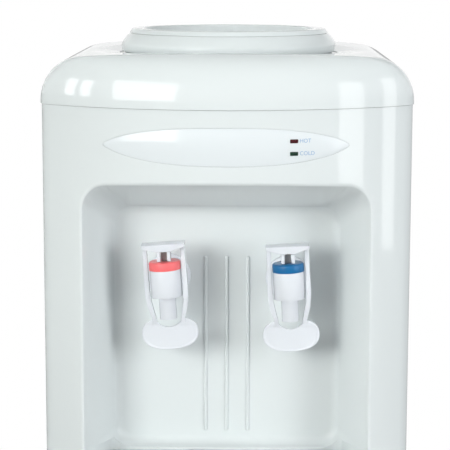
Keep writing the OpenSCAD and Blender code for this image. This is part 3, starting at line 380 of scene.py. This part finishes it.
WHITE = linear(215, 220, 221)
FINISHES = {
    "white_shell": moulded("white_shell", WHITE, 0.05, grain=0.000005, ripple=0.000006),
    "white_steel": powder_coat("white_steel", WHITE),
    "badge": moulded("badge", linear(217, 222, 225), 0.1),
    "lamp_red": moulded("lamp_red", linear(74, 10, 18), 0.1, 0.5),
    "lamp_green": moulded("lamp_green", linear(18, 50, 34), 0.1, 0.5),
    "ring_red": moulded("ring_red", linear(246, 113, 116), 0.28, 0.94),
    "ring_blue": moulded("ring_blue", linear(4, 102, 158), 0.28, 0.92),
    "tap_white": moulded("tap_white", linear(216, 219, 225), 0.16, 0.99),
    "stem_grey": matt("stem_grey", linear(206, 202, 198), 0.4, 0.00001),
    "stainless": brushed("stainless", (0.62, 0.63, 0.64, 1)),
    "zinc_steel": brushed("zinc_steel", (0.66, 0.67, 0.68, 1), 0.35),
    "spring_steel": brushed("spring_steel", (0.58, 0.59, 0.6, 1), 0.25),
    "heat_sink": brushed("heat_sink", (0.6, 0.61, 0.63, 1), 0.4),
    "foam": matt("foam", linear(240, 239, 230), 0.9, 0.0003, 500),
    "ceramic": matt("ceramic", linear(238, 236, 228), 0.7),
    "mica_band": brushed("mica_band", (0.4, 0.41, 0.42, 1), 0.4),
    "silicone": matt("silicone", linear(216, 221, 216), 0.35),
    "rubber_black": matt("rubber_black", linear(38, 38, 38), 0.75),
    "rubber_grey": matt("rubber_grey", linear(190, 194, 196), 0.7),
    "black_plastic": matt("black_plastic", linear(36, 36, 39), 0.5),
    "board_green": matt("board_green", linear(38, 98, 62), 0.4),
    "rocker_red": moulded("rocker_red", linear(176, 34, 30), 0.25, 0.9),
    "rocker_green": moulded("rocker_green", linear(40, 132, 66), 0.25, 0.9),
}
PRINT = matt("print", linear(132, 168, 205), 0.4, 0.00001)
for node, part in frame["nodes"].items():
    part.data.materials.clear()
    part.data.materials.append(FINISHES[SLOT_OF[node]])

# ----------------------------------------------------------------- the camera

CAMERA = Vector((0.021, -1.507, 0.5502))
PITCH = 8.9
YAW = 0.908
ROLL = 0.12
SENSOR_WIDTH = 36
LENS = 136.05


def set_camera():
    data = bpy.data.cameras.new("camera")
    data.sensor_width = SENSOR_WIDTH
    data.lens = LENS
    camera = bpy.data.objects.new("camera", data)
    bpy.context.scene.collection.objects.link(camera)
    camera.location = CAMERA
    turn = Matrix.Rotation(math.radians(YAW), 3, "Z") @ Matrix.Rotation(math.radians(90 - PITCH), 3, "X")
    camera.rotation_euler = (turn @ Matrix.Rotation(math.radians(ROLL), 3, "Z")).to_euler()
    bpy.context.scene.camera = camera


# ------------------------------------------------------------ the front shell


def ceiling_drop(x, z):
    """The alcove's ceiling falls towards its corners, as the bow carries the lip back up its slope."""
    near = clamp((z - 0.30) / 0.03) * clamp((LIP + 14 * MM - z) / (12 * MM))
    return LIP_SLOPE * min(bow(x), bow(MOUTH_HALF)) * near


def bowed(point):
    """Carries a point of the flat front shell back with the bow, all the way at the
    front and not at all at the alcove's back wall."""
    if point.y > WALL + MM:
        return Vector((point.x, SPLIT - PANEL_GAP, point.z))
    share = clamp((WALL - point.y) / (WALL - NOSE))
    drop = ceiling_drop(point.x, point.z) * share
    return Vector((point.x, point.y + bow(point.x) * share, point.z - drop))


def alcove_cutter():
    """The hollow of the alcove while the front is still flat."""
    cutter = block("alcove", (-MOUTH_HALF, NOSE, MOUTH_LOW), (MOUTH_HALF, WALL, LIP))
    with editing(cutter):
        select(cutter, "edges", lambda e: abs(e.verts[0].co.y - e.verts[1].co.y) > MM)
        bpy.ops.mesh.bevel(offset=MOUTH_CORNER, segments=10, affect="EDGES", offset_type="OFFSET")
        select(cutter, "faces", ends(lambda c: c.y > WALL - MM))
        centre = Vector((0, WALL, (MOUTH_LOW + LIP) / 2))
        shrink = (WALL_HALF / MOUTH_HALF, 1, (WALL_TOP - WALL_LOW) / (LIP - MOUTH_LOW))
        bpy.ops.transform.resize(value=shrink, center_override=centre)
        bpy.ops.transform.translate(value=(0, 0, (WALL_TOP + WALL_LOW) / 2 - centre.z))
        bpy.ops.mesh.bevel(offset=6 * MM, segments=6, affect="EDGES")
        select(cutter, "faces", ends(lambda c: c.y < NOSE + MM))
        bpy.ops.mesh.extrude_region_move(TRANSFORM_OT_translate={"value": (0, -10 * MM, 0)})
    return cutter


def pocket_cutter():
    """The hollow that the drip tray slides into, while the front is still flat."""
    back_half = MOUTH_HALF + (WALL_HALF - MOUTH_HALF) * (POCKET_BACK - NOSE) / (WALL - NOSE)
    cutter = block("pocket", (-MOUTH_HALF, NOSE, POCKET_LOW), (MOUTH_HALF, POCKET_BACK, POCKET_HIGH))
    with editing(cutter):
        select(cutter, "faces", ends(lambda c: c.y > POCKET_BACK - MM))
        bpy.ops.transform.resize(value=(back_half / MOUTH_HALF, 1, 1),
                                 center_override=(0, POCKET_BACK, POCKET_LOW))
        select(cutter, "edges", lambda e: ends(lambda c: c.y > POCKET_BACK - MM)(e)
               and abs(e.verts[0].co.z - e.verts[1].co.z) > MM)
        bpy.ops.mesh.bevel(offset=8 * MM, segments=6, affect="EDGES")
        select(cutter, "faces", ends(lambda c: c.y < NOSE + MM))
        bpy.ops.mesh.extrude_region_move(TRANSFORM_OT_translate={"value": (0, -10 * MM, 0)})
    return cutter


BADGE_LOW, BADGE_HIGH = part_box("display_badge")
BADGE_CENTRE = (BADGE_LOW + BADGE_HIGH) / 2
BADGE_GAP = 0.3 * MM
# How full the plate is over its middle, how pointed at its ends, and where an end turns round
BADGE_FULL = 2.5
BADGE_POINTED = 0.68
BADGE_TIP = 0.97
LAMP_PROUD = 0.35 * MM
WORD_HEIGHT = 3.2 * MM
WORD_GAP = 1.4 * MM


def oval_plate(name, grow, front, back):
    """A flat oval plate, pointed at its two ends, at depths from front to back behind the nose."""
    half_w = BADGE_HIGH.x + grow
    half_h = (BADGE_HIGH.z - BADGE_LOW.z) / 2 + grow
    nothing_selected()
    bpy.ops.mesh.primitive_cylinder_add(
        vertices=160, radius=1, depth=back - front, rotation=(math.radians(90), 0, 0),
        location=(0, NOSE + (front + back) / 2, BADGE_CENTRE.z))
    plate = placed(name)

    def outline(u):
        return half_h * (1 - u ** BADGE_FULL) ** BADGE_POINTED

    def rule(point):
        u = min(1, abs(point.x))
        rise = outline(u) if u < BADGE_TIP else outline(BADGE_TIP) * math.sqrt((1 - u) / (1 - BADGE_TIP))
        rise = math.copysign(rise, point.z - BADGE_CENTRE.z)
        return Vector((half_w * point.x, point.y, BADGE_CENTRE.z + rise))
    reshape(plate, rule)
    return plate


def front_shell():
    top = SEAM - SEAM_GAP
    shell = block("front_shell", (-HALF_WIDTH, NOSE, PANEL_LOW.z), (HALF_WIDTH, WALL + 20 * MM, top))
    combine(shell, alcove_cutter())
    combine(shell, pocket_cutter())
    with editing(shell):
        def on_mouth(edge):
            return ends(lambda c: c.y < NOSE + 0.1 * MM and abs(c.x) < HALF_WIDTH - MM
                        and PANEL_LOW.z + MM < c.z < top - MM)(edge)
        select(shell, "edges", on_mouth)
        bpy.ops.mesh.bevel(offset=2.6 * MM, segments=6, affect="EDGES")
    combine(shell, oval_plate("badge_recess", BADGE_GAP, -MM, MM))
    slice_at(shell, "x", columns())

    def is_open(face):
        """The back, and the top and the bottom behind the nose, are left open."""
        c = face.calc_center_median()
        capped = c.z > top - MM / 2 or c.z < PANEL_LOW.z + MM / 2
        return c.y > WALL + 2 * MM or (c.y > NOSE + MM and abs(c.x) < HALF_WIDTH - MM and capped)
    delete_faces(shell, is_open)
    reshape(shell, bowed)
    modify(shell, "SOLIDIFY", thickness=SHELL, offset=-1)
    smooth(shell)
    ribs = [wall_rib(i) for i in (-1, 0, 1)]
    return show(join(shell, *ribs), FINISHES["white_shell"], "front_panel")


RIB_GAP = 18.2 * MM
RIB_LOW = WALL_LOW + 10 * MM
RIB_LENGTH = 154 * MM
RIB_WIDTH = 3 * MM
RIB_OUT = 1.4 * MM


def wall_rib(place):
    x = place * RIB_GAP
    rib = block("rib", (x - RIB_WIDTH / 2, WALL - RIB_OUT, RIB_LOW),
                (x + RIB_WIDTH / 2, WALL + MM, RIB_LOW + RIB_LENGTH))
    with editing(rib):
        select(rib, "edges", lambda e: abs(e.verts[0].co.y - e.verts[1].co.y) > MM)
        bpy.ops.mesh.bevel(offset=RIB_WIDTH * 0.48, segments=6, affect="EDGES")
        select(rib, "faces", ends(lambda c: c.y < WALL - RIB_OUT / 2))
        bpy.ops.mesh.bevel(offset=RIB_OUT * 0.7, segments=4, affect="EDGES")
    smooth(rib, 50)
    return rib


def badge_piece():
    plate = oval_plate("badge_plate", 0, 0.1 * MM, MM)
    with editing(plate):
        select(plate, "faces", ends(lambda c: c.y < NOSE + 0.2 * MM))
        bpy.ops.mesh.bevel(offset=0.2 * MM, segments=2, affect="EDGES")
    slice_at(plate, "x", [x for x in columns() if abs(x) < BADGE_HIGH.x])
    reshape(plate, bowed)
    smooth(plate)
    return show(plate, FINISHES["badge"], "display_badge")


def lamp_lens(node):
    """A lamp's lens, bowed like the plate that it stands a little proud of."""
    low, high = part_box(node)
    lens = block(node + "_lens", (low.x, NOSE - LAMP_PROUD, low.z), (high.x, NOSE + 3 * MM, high.z))
    with editing(lens):
        select(lens, "edges", lambda e: abs(e.verts[0].co.y - e.verts[1].co.y) > MM)
        bpy.ops.mesh.bevel(offset=0.7 * MM, segments=4, affect="EDGES")
        select(lens, "faces", ends(lambda c: c.y < NOSE))
        bpy.ops.mesh.bevel(offset=0.3 * MM, segments=3, affect="EDGES")
    slice_at(lens, "x", [low.x + (high.x - low.x) * i / 4 for i in (1, 2, 3)])
    reshape(lens, bowed)
    smooth(lens)
    return show(lens, FINISHES[SLOT_OF[node]], node)


def word(text, node, width):
    """A plain word printed on the badge beside its lamp."""
    low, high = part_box(node)
    nothing_selected()
    bpy.ops.object.text_add(rotation=(math.radians(90), 0, 0))
    bpy.context.object.data.body = text
    bpy.context.object.data.extrude = 0.01
    bpy.ops.object.convert(target="MESH")
    letters = placed("word_" + text.lower())
    xs, zs = [v.co.x for v in letters.data.vertices], [v.co.z for v in letters.data.vertices]
    wide, tall = width / (max(xs) - min(xs)), WORD_HEIGHT / (max(zs) - min(zs))

    def rule(point):
        x = high.x + WORD_GAP + (point.x - min(xs)) * wide
        z = (low.z + high.z - WORD_HEIGHT) / 2 + 0.3 * MM + (point.z - min(zs)) * tall
        return bowed(Vector((x, NOSE + 0.04 * MM + point.y * MM, z)))
    reshape(letters, rule)
    letters.data.materials.append(PRINT)
    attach(letters, BODY_OF["display_badge"])


# -------------------------------------------------------------------- the lid


def lean(z):
    """How far the lid's front leans back at a height."""
    def leaned(share):
        return 1 - (1 - share ** LEAN_POWER) ** (1 / LEAN_POWER)
    return LEAN * leaned(clamp((z - SEAM) / (CROWN - SEAM)) / LEAN_SHARE) / leaned(1 / LEAN_SHARE)


def crown_drop(x):
    """How far the deck lies under the crown."""
    return CROWN_RISE * clamp(abs(x) / (LID_HALF - SHOULDER_RADIUS)) ** 2


def domed(point):
    """Carries a point of the flat lid in with the shoulders, up with the crown and back
    with the bow and the lean."""
    h = clamp(1 - (LID_FLAT_TOP - point.z) / SHOULDER_RADIUS)
    half = LID_HALF - SHOULDER_RADIUS * (1 - math.sqrt(1 - h * h))
    x, y = point.x * half / LID_HALF, point.y
    rounding = REAR_RADIUS + REAR_SOFTENING * h * h
    corner = Vector((half - rounding, REAR - rounding))
    out = Vector((abs(x), y)) - corner
    if min(out) > 0 and out.length > rounding:
        out = corner + out.normalized() * rounding
        x, y = math.copysign(out.x, x), out.y
    z = point.z + (CROWN_RISE - crown_drop(x)) * clamp((point.z - SEAM) / (LID_FLAT_TOP - SEAM))
    share = clamp((REAR - y) / (REAR - LID_NOSE))
    back = (bow(x, half, LID_OVER) + lean(z)) * share - REAR_LEAN * lean(z) * (1 - share)
    fall = DISH_FALL * clamp(1 - (math.hypot(x, y + back) - DISH_RADIUS) / DISH_FLARE) ** 2
    return Vector((x, y + back, z - fall * clamp((h - 0.9) / 0.1)))


def lid_shell():
    shell = block("lid_shell", (-LID_HALF, LID_NOSE, SEAM), (LID_HALF, REAR, LID_FLAT_TOP))
    with editing(shell):
        select(shell, "edges", lambda e: ends(lambda c: c.y > REAR - MM)(e)
               and abs(e.verts[0].co.z - e.verts[1].co.z) > MM)
        bpy.ops.mesh.bevel(offset=REAR_RADIUS, segments=10, affect="EDGES")
    slice_at(shell, "x", columns(LID_HALF))
    levels = [SHOULDER_RADIUS * (1 - math.sin(math.radians(a))) for a in range(0, 90, 6)]
    slice_at(shell, "z", [LID_FLAT_TOP - level for level in levels])
    slice_at(shell, "y", [REAR - i * DECK_STEP for i in range(2, 43)])
    reshape(shell, domed)
    combine(shell, rod("dish", (0, 0), DISH_RADIUS, DISH_FLOOR, CROWN + 9 * MM, 192))
    delete_faces(shell, lambda f: f.calc_center_median().z < SEAM + 0.05 * MM)
    modify(shell, "SOLIDIFY", thickness=SHELL, offset=-1)
    combine(shell, rod("hole", (0, 0), DISH_HOLE, SEAM + MM, CROWN + 9 * MM, 192))
    smooth(shell)
    return show(join(shell, lid_skirt()), FINISHES["white_shell"], "lid")


def lid_skirt(inset=2.8 * MM):
    """The skirt that locates the lid, seen only through the seam."""
    half = HALF_WIDTH - inset
    skirt = block("skirt", (-half, NOSE + inset, LID_LOW.z), (half, REAR - inset, SEAM + 3 * MM))
    slice_at(skirt, "x", columns(half))
    delete_faces(skirt, lambda f: abs(f.normal.z) > 0.9)
    share = 1 / (REAR - NOSE)
    reshape(skirt, lambda p: Vector((p.x, p.y + bow(p.x, half, -inset) * (REAR - p.y) * share, p.z)))
    modify(skirt, "SOLIDIFY", thickness=1.5 * MM, offset=-1)
    smooth(skirt)
    return skirt


def turned(name, profile, steps=160):
    """A piece turned about the Z axis from a closed outline of radii and heights in millimetres."""
    nothing_selected()
    mesh = bpy.data.meshes.new(name)
    count = len(profile)
    edges = [(i, (i + 1) % count) for i in range(count)]
    mesh.from_pydata([(r * MM, 0, z * MM) for r, z in profile], edges, [])
    piece = bpy.data.objects.new(name, mesh)
    bpy.context.scene.collection.objects.link(piece)
    modify(piece, "SCREW", angle=math.radians(360), steps=steps, render_steps=steps, screw_offset=0, axis="Z",
           use_merge_vertices=True, merge_threshold=1e-6, use_normal_calculate=True)
    with editing(piece):
        bpy.ops.mesh.select_all(action="SELECT")
        bpy.ops.mesh.normals_make_consistent(inside=False)
    smooth(piece, 24)
    return piece


# Its base ring, its foot, the ridge, the cone above it, the rim and the inside
COLLAR_OUTLINE = [
    (76, 471.2), (76, 459.6), (78.4, 459.4), (78.6, 459.8), (78.6, 468.6), (84.6, 468.6), (91.6, 469.4),
    (93.2, 470.4), (93.8, 472), (94.1, 475.6), (94, 476.6), (93.6, 477.6), (92.7, 479.3), (91, 481.8),
    (89.2, 483.9), (87.5, 485.8), (87.2, 486), (83.7, 486), (83.4, 485.7), (88.2, 478.4), (88.2, 474.6),
    (84, 471.2),
]


def collar():
    """The bottle's collar: a cone that swells to a soft ridge and tucks in to its foot."""
    return show(turned("collar", COLLAR_OUTLINE), FINISHES["white_shell"], "collar_ring")


# ------------------------------------------------- pieces kept from the solids


def copied(node):
    """A copy of a CAD solid to work on, with its triangles merged into faces."""
    piece = frame["nodes"][node].copy()
    piece.data = frame["nodes"][node].data.copy()
    for key in [k for k in piece.keys() if k.startswith("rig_")]:
        del piece[key]
    piece.parent = None
    piece.name = node + "_finished"
    bpy.context.scene.collection.objects.link(piece)
    with editing(piece):
        bpy.ops.mesh.select_all(action="SELECT")
        bpy.ops.mesh.remove_doubles(threshold=1e-6)
        bpy.ops.mesh.dissolve_limited(angle_limit=math.radians(0.5))
    return piece


def softened(node, width=0.4, angle=40, segments=2):
    """A CAD solid with its sharp edges rounded."""
    piece = copied(node)
    modify(piece, "BEVEL", width=width * MM, segments=segments, limit_method="ANGLE",
           angle_limit=math.radians(angle), use_clamp_overlap=True, harden_normals=False)
    smooth(piece, angle)
    return show(piece, FINISHES[SLOT_OF[node]], node)


PADDLE_WIDE, PADDLE_HIGH = 47.6 * MM, 28 * MM
FACE_SUNK = 0.6 * MM
# The slot in the lever for the stem's head: half its width, half its depth and its height
ROOM_HALF_WIDE, ROOM_HALF_DEEP, ROOM_HIGH = 3.1 * MM, 4.6 * MM, 18.4 * MM


def melted_lever(side, turn):
    """A tap's lever: its edges and inner corners all flow into each other, and the
    paddle's face lies a little inside its rounded rim. The tap is turned in its hole."""
    node = f"tap_{side}_lever"
    low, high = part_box(node)
    upright = Matrix.Rotation(math.radians(turn), 3, "Y")
    centre = Vector(((low.x + high.x) / 2, 0, low.z + PADDLE_HIGH / 2))
    piece = copied(node)
    modify(piece, "REMESH", mode="VOXEL", voxel_size=0.4 * MM)
    facing = [vertex.normal.y < -0.7 for vertex in piece.data.vertices]
    for vertex, front in zip(piece.data.vertices, facing):
        place = upright @ (vertex.co - centre)
        across, up = abs(place.x) / (PADDLE_WIDE / 2), abs(place.z) / (PADDLE_HIGH / 2)
        inner = clamp((0.86 - across ** 2.5 - up ** 2.5) / 0.16)
        if front and up < 1:
            vertex.co.y += FACE_SUNK * inner * clamp((centre.z + PADDLE_HIGH * 0.3 - vertex.co.z) / (2 * MM))
    modify(piece, "SMOOTH", factor=0.5, iterations=7)
    modify(piece, "DECIMATE", ratio=0.35)
    stem_low, stem_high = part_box(f"tap_{side}_stem")
    middle = (stem_low + stem_high) / 2
    room = block("room", (-ROOM_HALF_WIDE, -ROOM_HALF_DEEP, 0), (ROOM_HALF_WIDE, ROOM_HALF_DEEP, ROOM_HIGH))
    room.matrix_world = Matrix.Translation(middle) @ upright.inverted().to_4x4()
    combine(piece, room)
    only(piece)
    bpy.ops.object.shade_smooth()
    return show(piece, FINISHES[SLOT_OF[node]], node)


SOFT_EDGES = {
    "seat_insert": 0.6, "drip_tray": 0.8, "drip_grille": 0.4, "rear_panel": 0.2,
    "side_panel_left": 0.3, "side_panel_right": 0.3, "rubber_feet": 0.8, "drain_cap": 0.4, "cord_gland": 0.4,
    "switch_housings": 0.3, "rocker_heat": 0.3, "rocker_cool": 0.3,
}
for side in ("hot", "cold"):
    SOFT_EDGES.update({
        f"tap_{side}_body": 0.5, f"tap_{side}_cap": 0.4, f"tap_{side}_rose": 0.4, f"tap_{side}_stem": 0.2,
    })


def spring_piece(joint, end):
    """A return spring kept from its solid, on a mesh of its own. How far it would shorten towards its fixed
    upper end as the valve lifts is worked out and not used.
    """
    node = end["node"]
    low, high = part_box(node)
    piece = copied(node)
    smooth(piece, 60)
    show(piece, FINISHES[SLOT_OF[node]], node)
    travel, fixed = joint["range_m"][1], end["fixed_end_z_m"]
    1 - travel / (fixed - low.z)
    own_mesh(piece)


# ------------------------------------------------------------------ the studio


# How far from the middle the floor starts to fade, and where it is gone
FLOOR_FULL = 0.2
FLOOR_GONE = 0.36


def floor():
    """A pale floor that fades to white light away from the object."""
    nothing_selected()
    bpy.ops.mesh.primitive_circle_add(vertices=96, radius=60, fill_type="NGON", location=(0, 0, 0))
    plane = placed("floor")
    finish = Finish("floor", Roughness=0.6)
    finish.set("Base Color", finish.mix(finish.noise(3, 3), (0.84, 0.84, 0.84, 1), (0.87, 0.87, 0.87, 1)))
    distance = finish.node("ShaderNodeVectorMath", {"operation": "LENGTH"}, {0: finish.place()}, "Value")
    fade = finish.node("ShaderNodeMapRange", {"interpolation_type": "SMOOTHSTEP"},
                       {"Value": distance, "From Min": FLOOR_FULL, "From Max": FLOOR_GONE})
    seen = finish.node("ShaderNodeLightPath", output="Is Camera Ray")
    glow = finish.node("ShaderNodeEmission", {}, {"Color": (1, 1, 1, 1), "Strength": seen * 0.6 + 0.4})
    surface = Wire(finish, finish.shader.outputs[0])
    mixed = finish.node("ShaderNodeMixShader", {}, {0: fade, 1: surface, 2: glow})
    finish.put(finish.tree.nodes["Material Output"].inputs["Surface"], mixed)
    plane.data.materials.append(finish.material)


def lamp(name, place, aim, size, power, colour, spread):
    data = bpy.data.lights.new(name, "AREA")
    data.shape = "RECTANGLE"
    data.size, data.size_y = size
    data.energy = power
    data.color = colour
    data.spread = math.radians(spread)
    light = bpy.data.objects.new(name, data)
    bpy.context.scene.collection.objects.link(light)
    light.location = place
    light.rotation_euler = (Vector(aim) - Vector(place)).to_track_quat("-Z", "Y").to_euler()
    return light


LIT = Vector((0, -0.11, 0.3))
LIGHT_REACH = 1.6
# Each light's name, azimuth and elevation seen from the object, width and height in
# degrees, radiance, spread, colour, and whether it lights the object or shows only in its gloss
LIGHTS = [
    ("key", -37, 14, 26, 26, 0.92, 44, (0.98, 1.0, 0.97), "lights"),
    ("right_soft", 52, 9, 16, 33, 10, 180, (0.97, 0.99, 1.0), "lights"),
    ("top", 0, 80, 48, 42, 0.7, 180, (1.0, 1.0, 1.0), "lights"),
    ("left_band", -38, 17, 29, 27, 4.0, 180, (1.0, 1.0, 1.0), "shines"),
    ("left_pane", -66.5, 14, 5.5, 19, 5, 180, (1.0, 1.0, 1.0), "shines"),
    ("left_pane_2", -74.5, 14, 5.5, 19, 5, 180, (1.0, 1.0, 1.0), "shines"),
    ("right_pane", 57, 8.5, 12, 34, 2.8, 180, (1.0, 1.0, 1.0), "shines"),
    ("right_edge", 76.5, 8.5, 7, 34, 2.8, 180, (1.0, 1.0, 1.0), "shines"),
]


ROOM_COLOUR = (0.96, 1.0, 0.99, 1)
ROOM_STRENGTH = 0.43


def studio():
    world = bpy.data.worlds.new("studio")
    world.use_nodes = True
    bpy.context.scene.world = world
    tree = world.node_tree
    tree.nodes.clear()
    output = tree.nodes.new("ShaderNodeOutputWorld")
    soft, seen = tree.nodes.new("ShaderNodeBackground"), tree.nodes.new("ShaderNodeBackground")
    soft.inputs["Color"].default_value = ROOM_COLOUR
    soft.inputs["Strength"].default_value = ROOM_STRENGTH
    seen.inputs["Color"].default_value = (1, 1, 1, 1)
    # The backdrop is white up to a little over the horizon, and the room above it is dimmer
    height, part = tree.nodes.new("ShaderNodeTexCoord"), tree.nodes.new("ShaderNodeSeparateXYZ")
    fade = tree.nodes.new("ShaderNodeMapRange")
    fade.interpolation_type = "SMOOTHSTEP"
    for name, value in {"From Min": 0.22, "From Max": 0.42, "To Min": 1.0, "To Max": 0.5}.items():
        fade.inputs[name].default_value = value
    tree.links.new(height.outputs["Generated"], part.inputs[0])
    tree.links.new(part.outputs["Z"], fade.inputs["Value"])
    tree.links.new(fade.outputs[0], seen.inputs["Strength"])
    path, mix = tree.nodes.new("ShaderNodeLightPath"), tree.nodes.new("ShaderNodeMixShader")
    tree.links.new(path.outputs["Is Diffuse Ray"], mix.inputs[0])
    tree.links.new(seen.outputs[0], mix.inputs[1])
    tree.links.new(soft.outputs[0], mix.inputs[2])
    tree.links.new(mix.outputs[0], output.inputs[0])
    for name, azimuth, elevation, width, height, radiance, spread, colour, use in LIGHTS:
        turn, rise = math.radians(azimuth), math.radians(elevation)
        out = Vector((math.sin(turn) * math.cos(rise), -math.cos(turn) * math.cos(rise), math.sin(rise)))
        size = [2 * LIGHT_REACH * math.tan(math.radians(angle / 2)) for angle in (width, height)]
        power = radiance * math.pi * size[0] * size[1]
        light = lamp(name, LIT + out * LIGHT_REACH, LIT, size, power, colour, spread)
        light.visible_glossy = use == "shines"
        light.visible_diffuse = use == "lights"
    bpy.context.scene.view_settings.view_transform = "Standard"


# ---------------------------------------------------------------- the assembly

set_camera()
front_shell()
badge_piece()
lid_shell()
collar()
for node in ("indicator_hot", "indicator_cold"):
    lamp_lens(node)
word("HOT", "indicator_hot", 9 * MM)
word("COLD", "indicator_cold", 11.9 * MM)
for node, width in SOFT_EDGES.items():
    softened(node, width)
melted_lever("hot", 4)
melted_lever("cold", 3)
for joint in RECORD["behaviour"]["joints"]:
    for end in joint.get("deforming_nodes", []):
        spring_piece(joint, end)
floor()
studio()
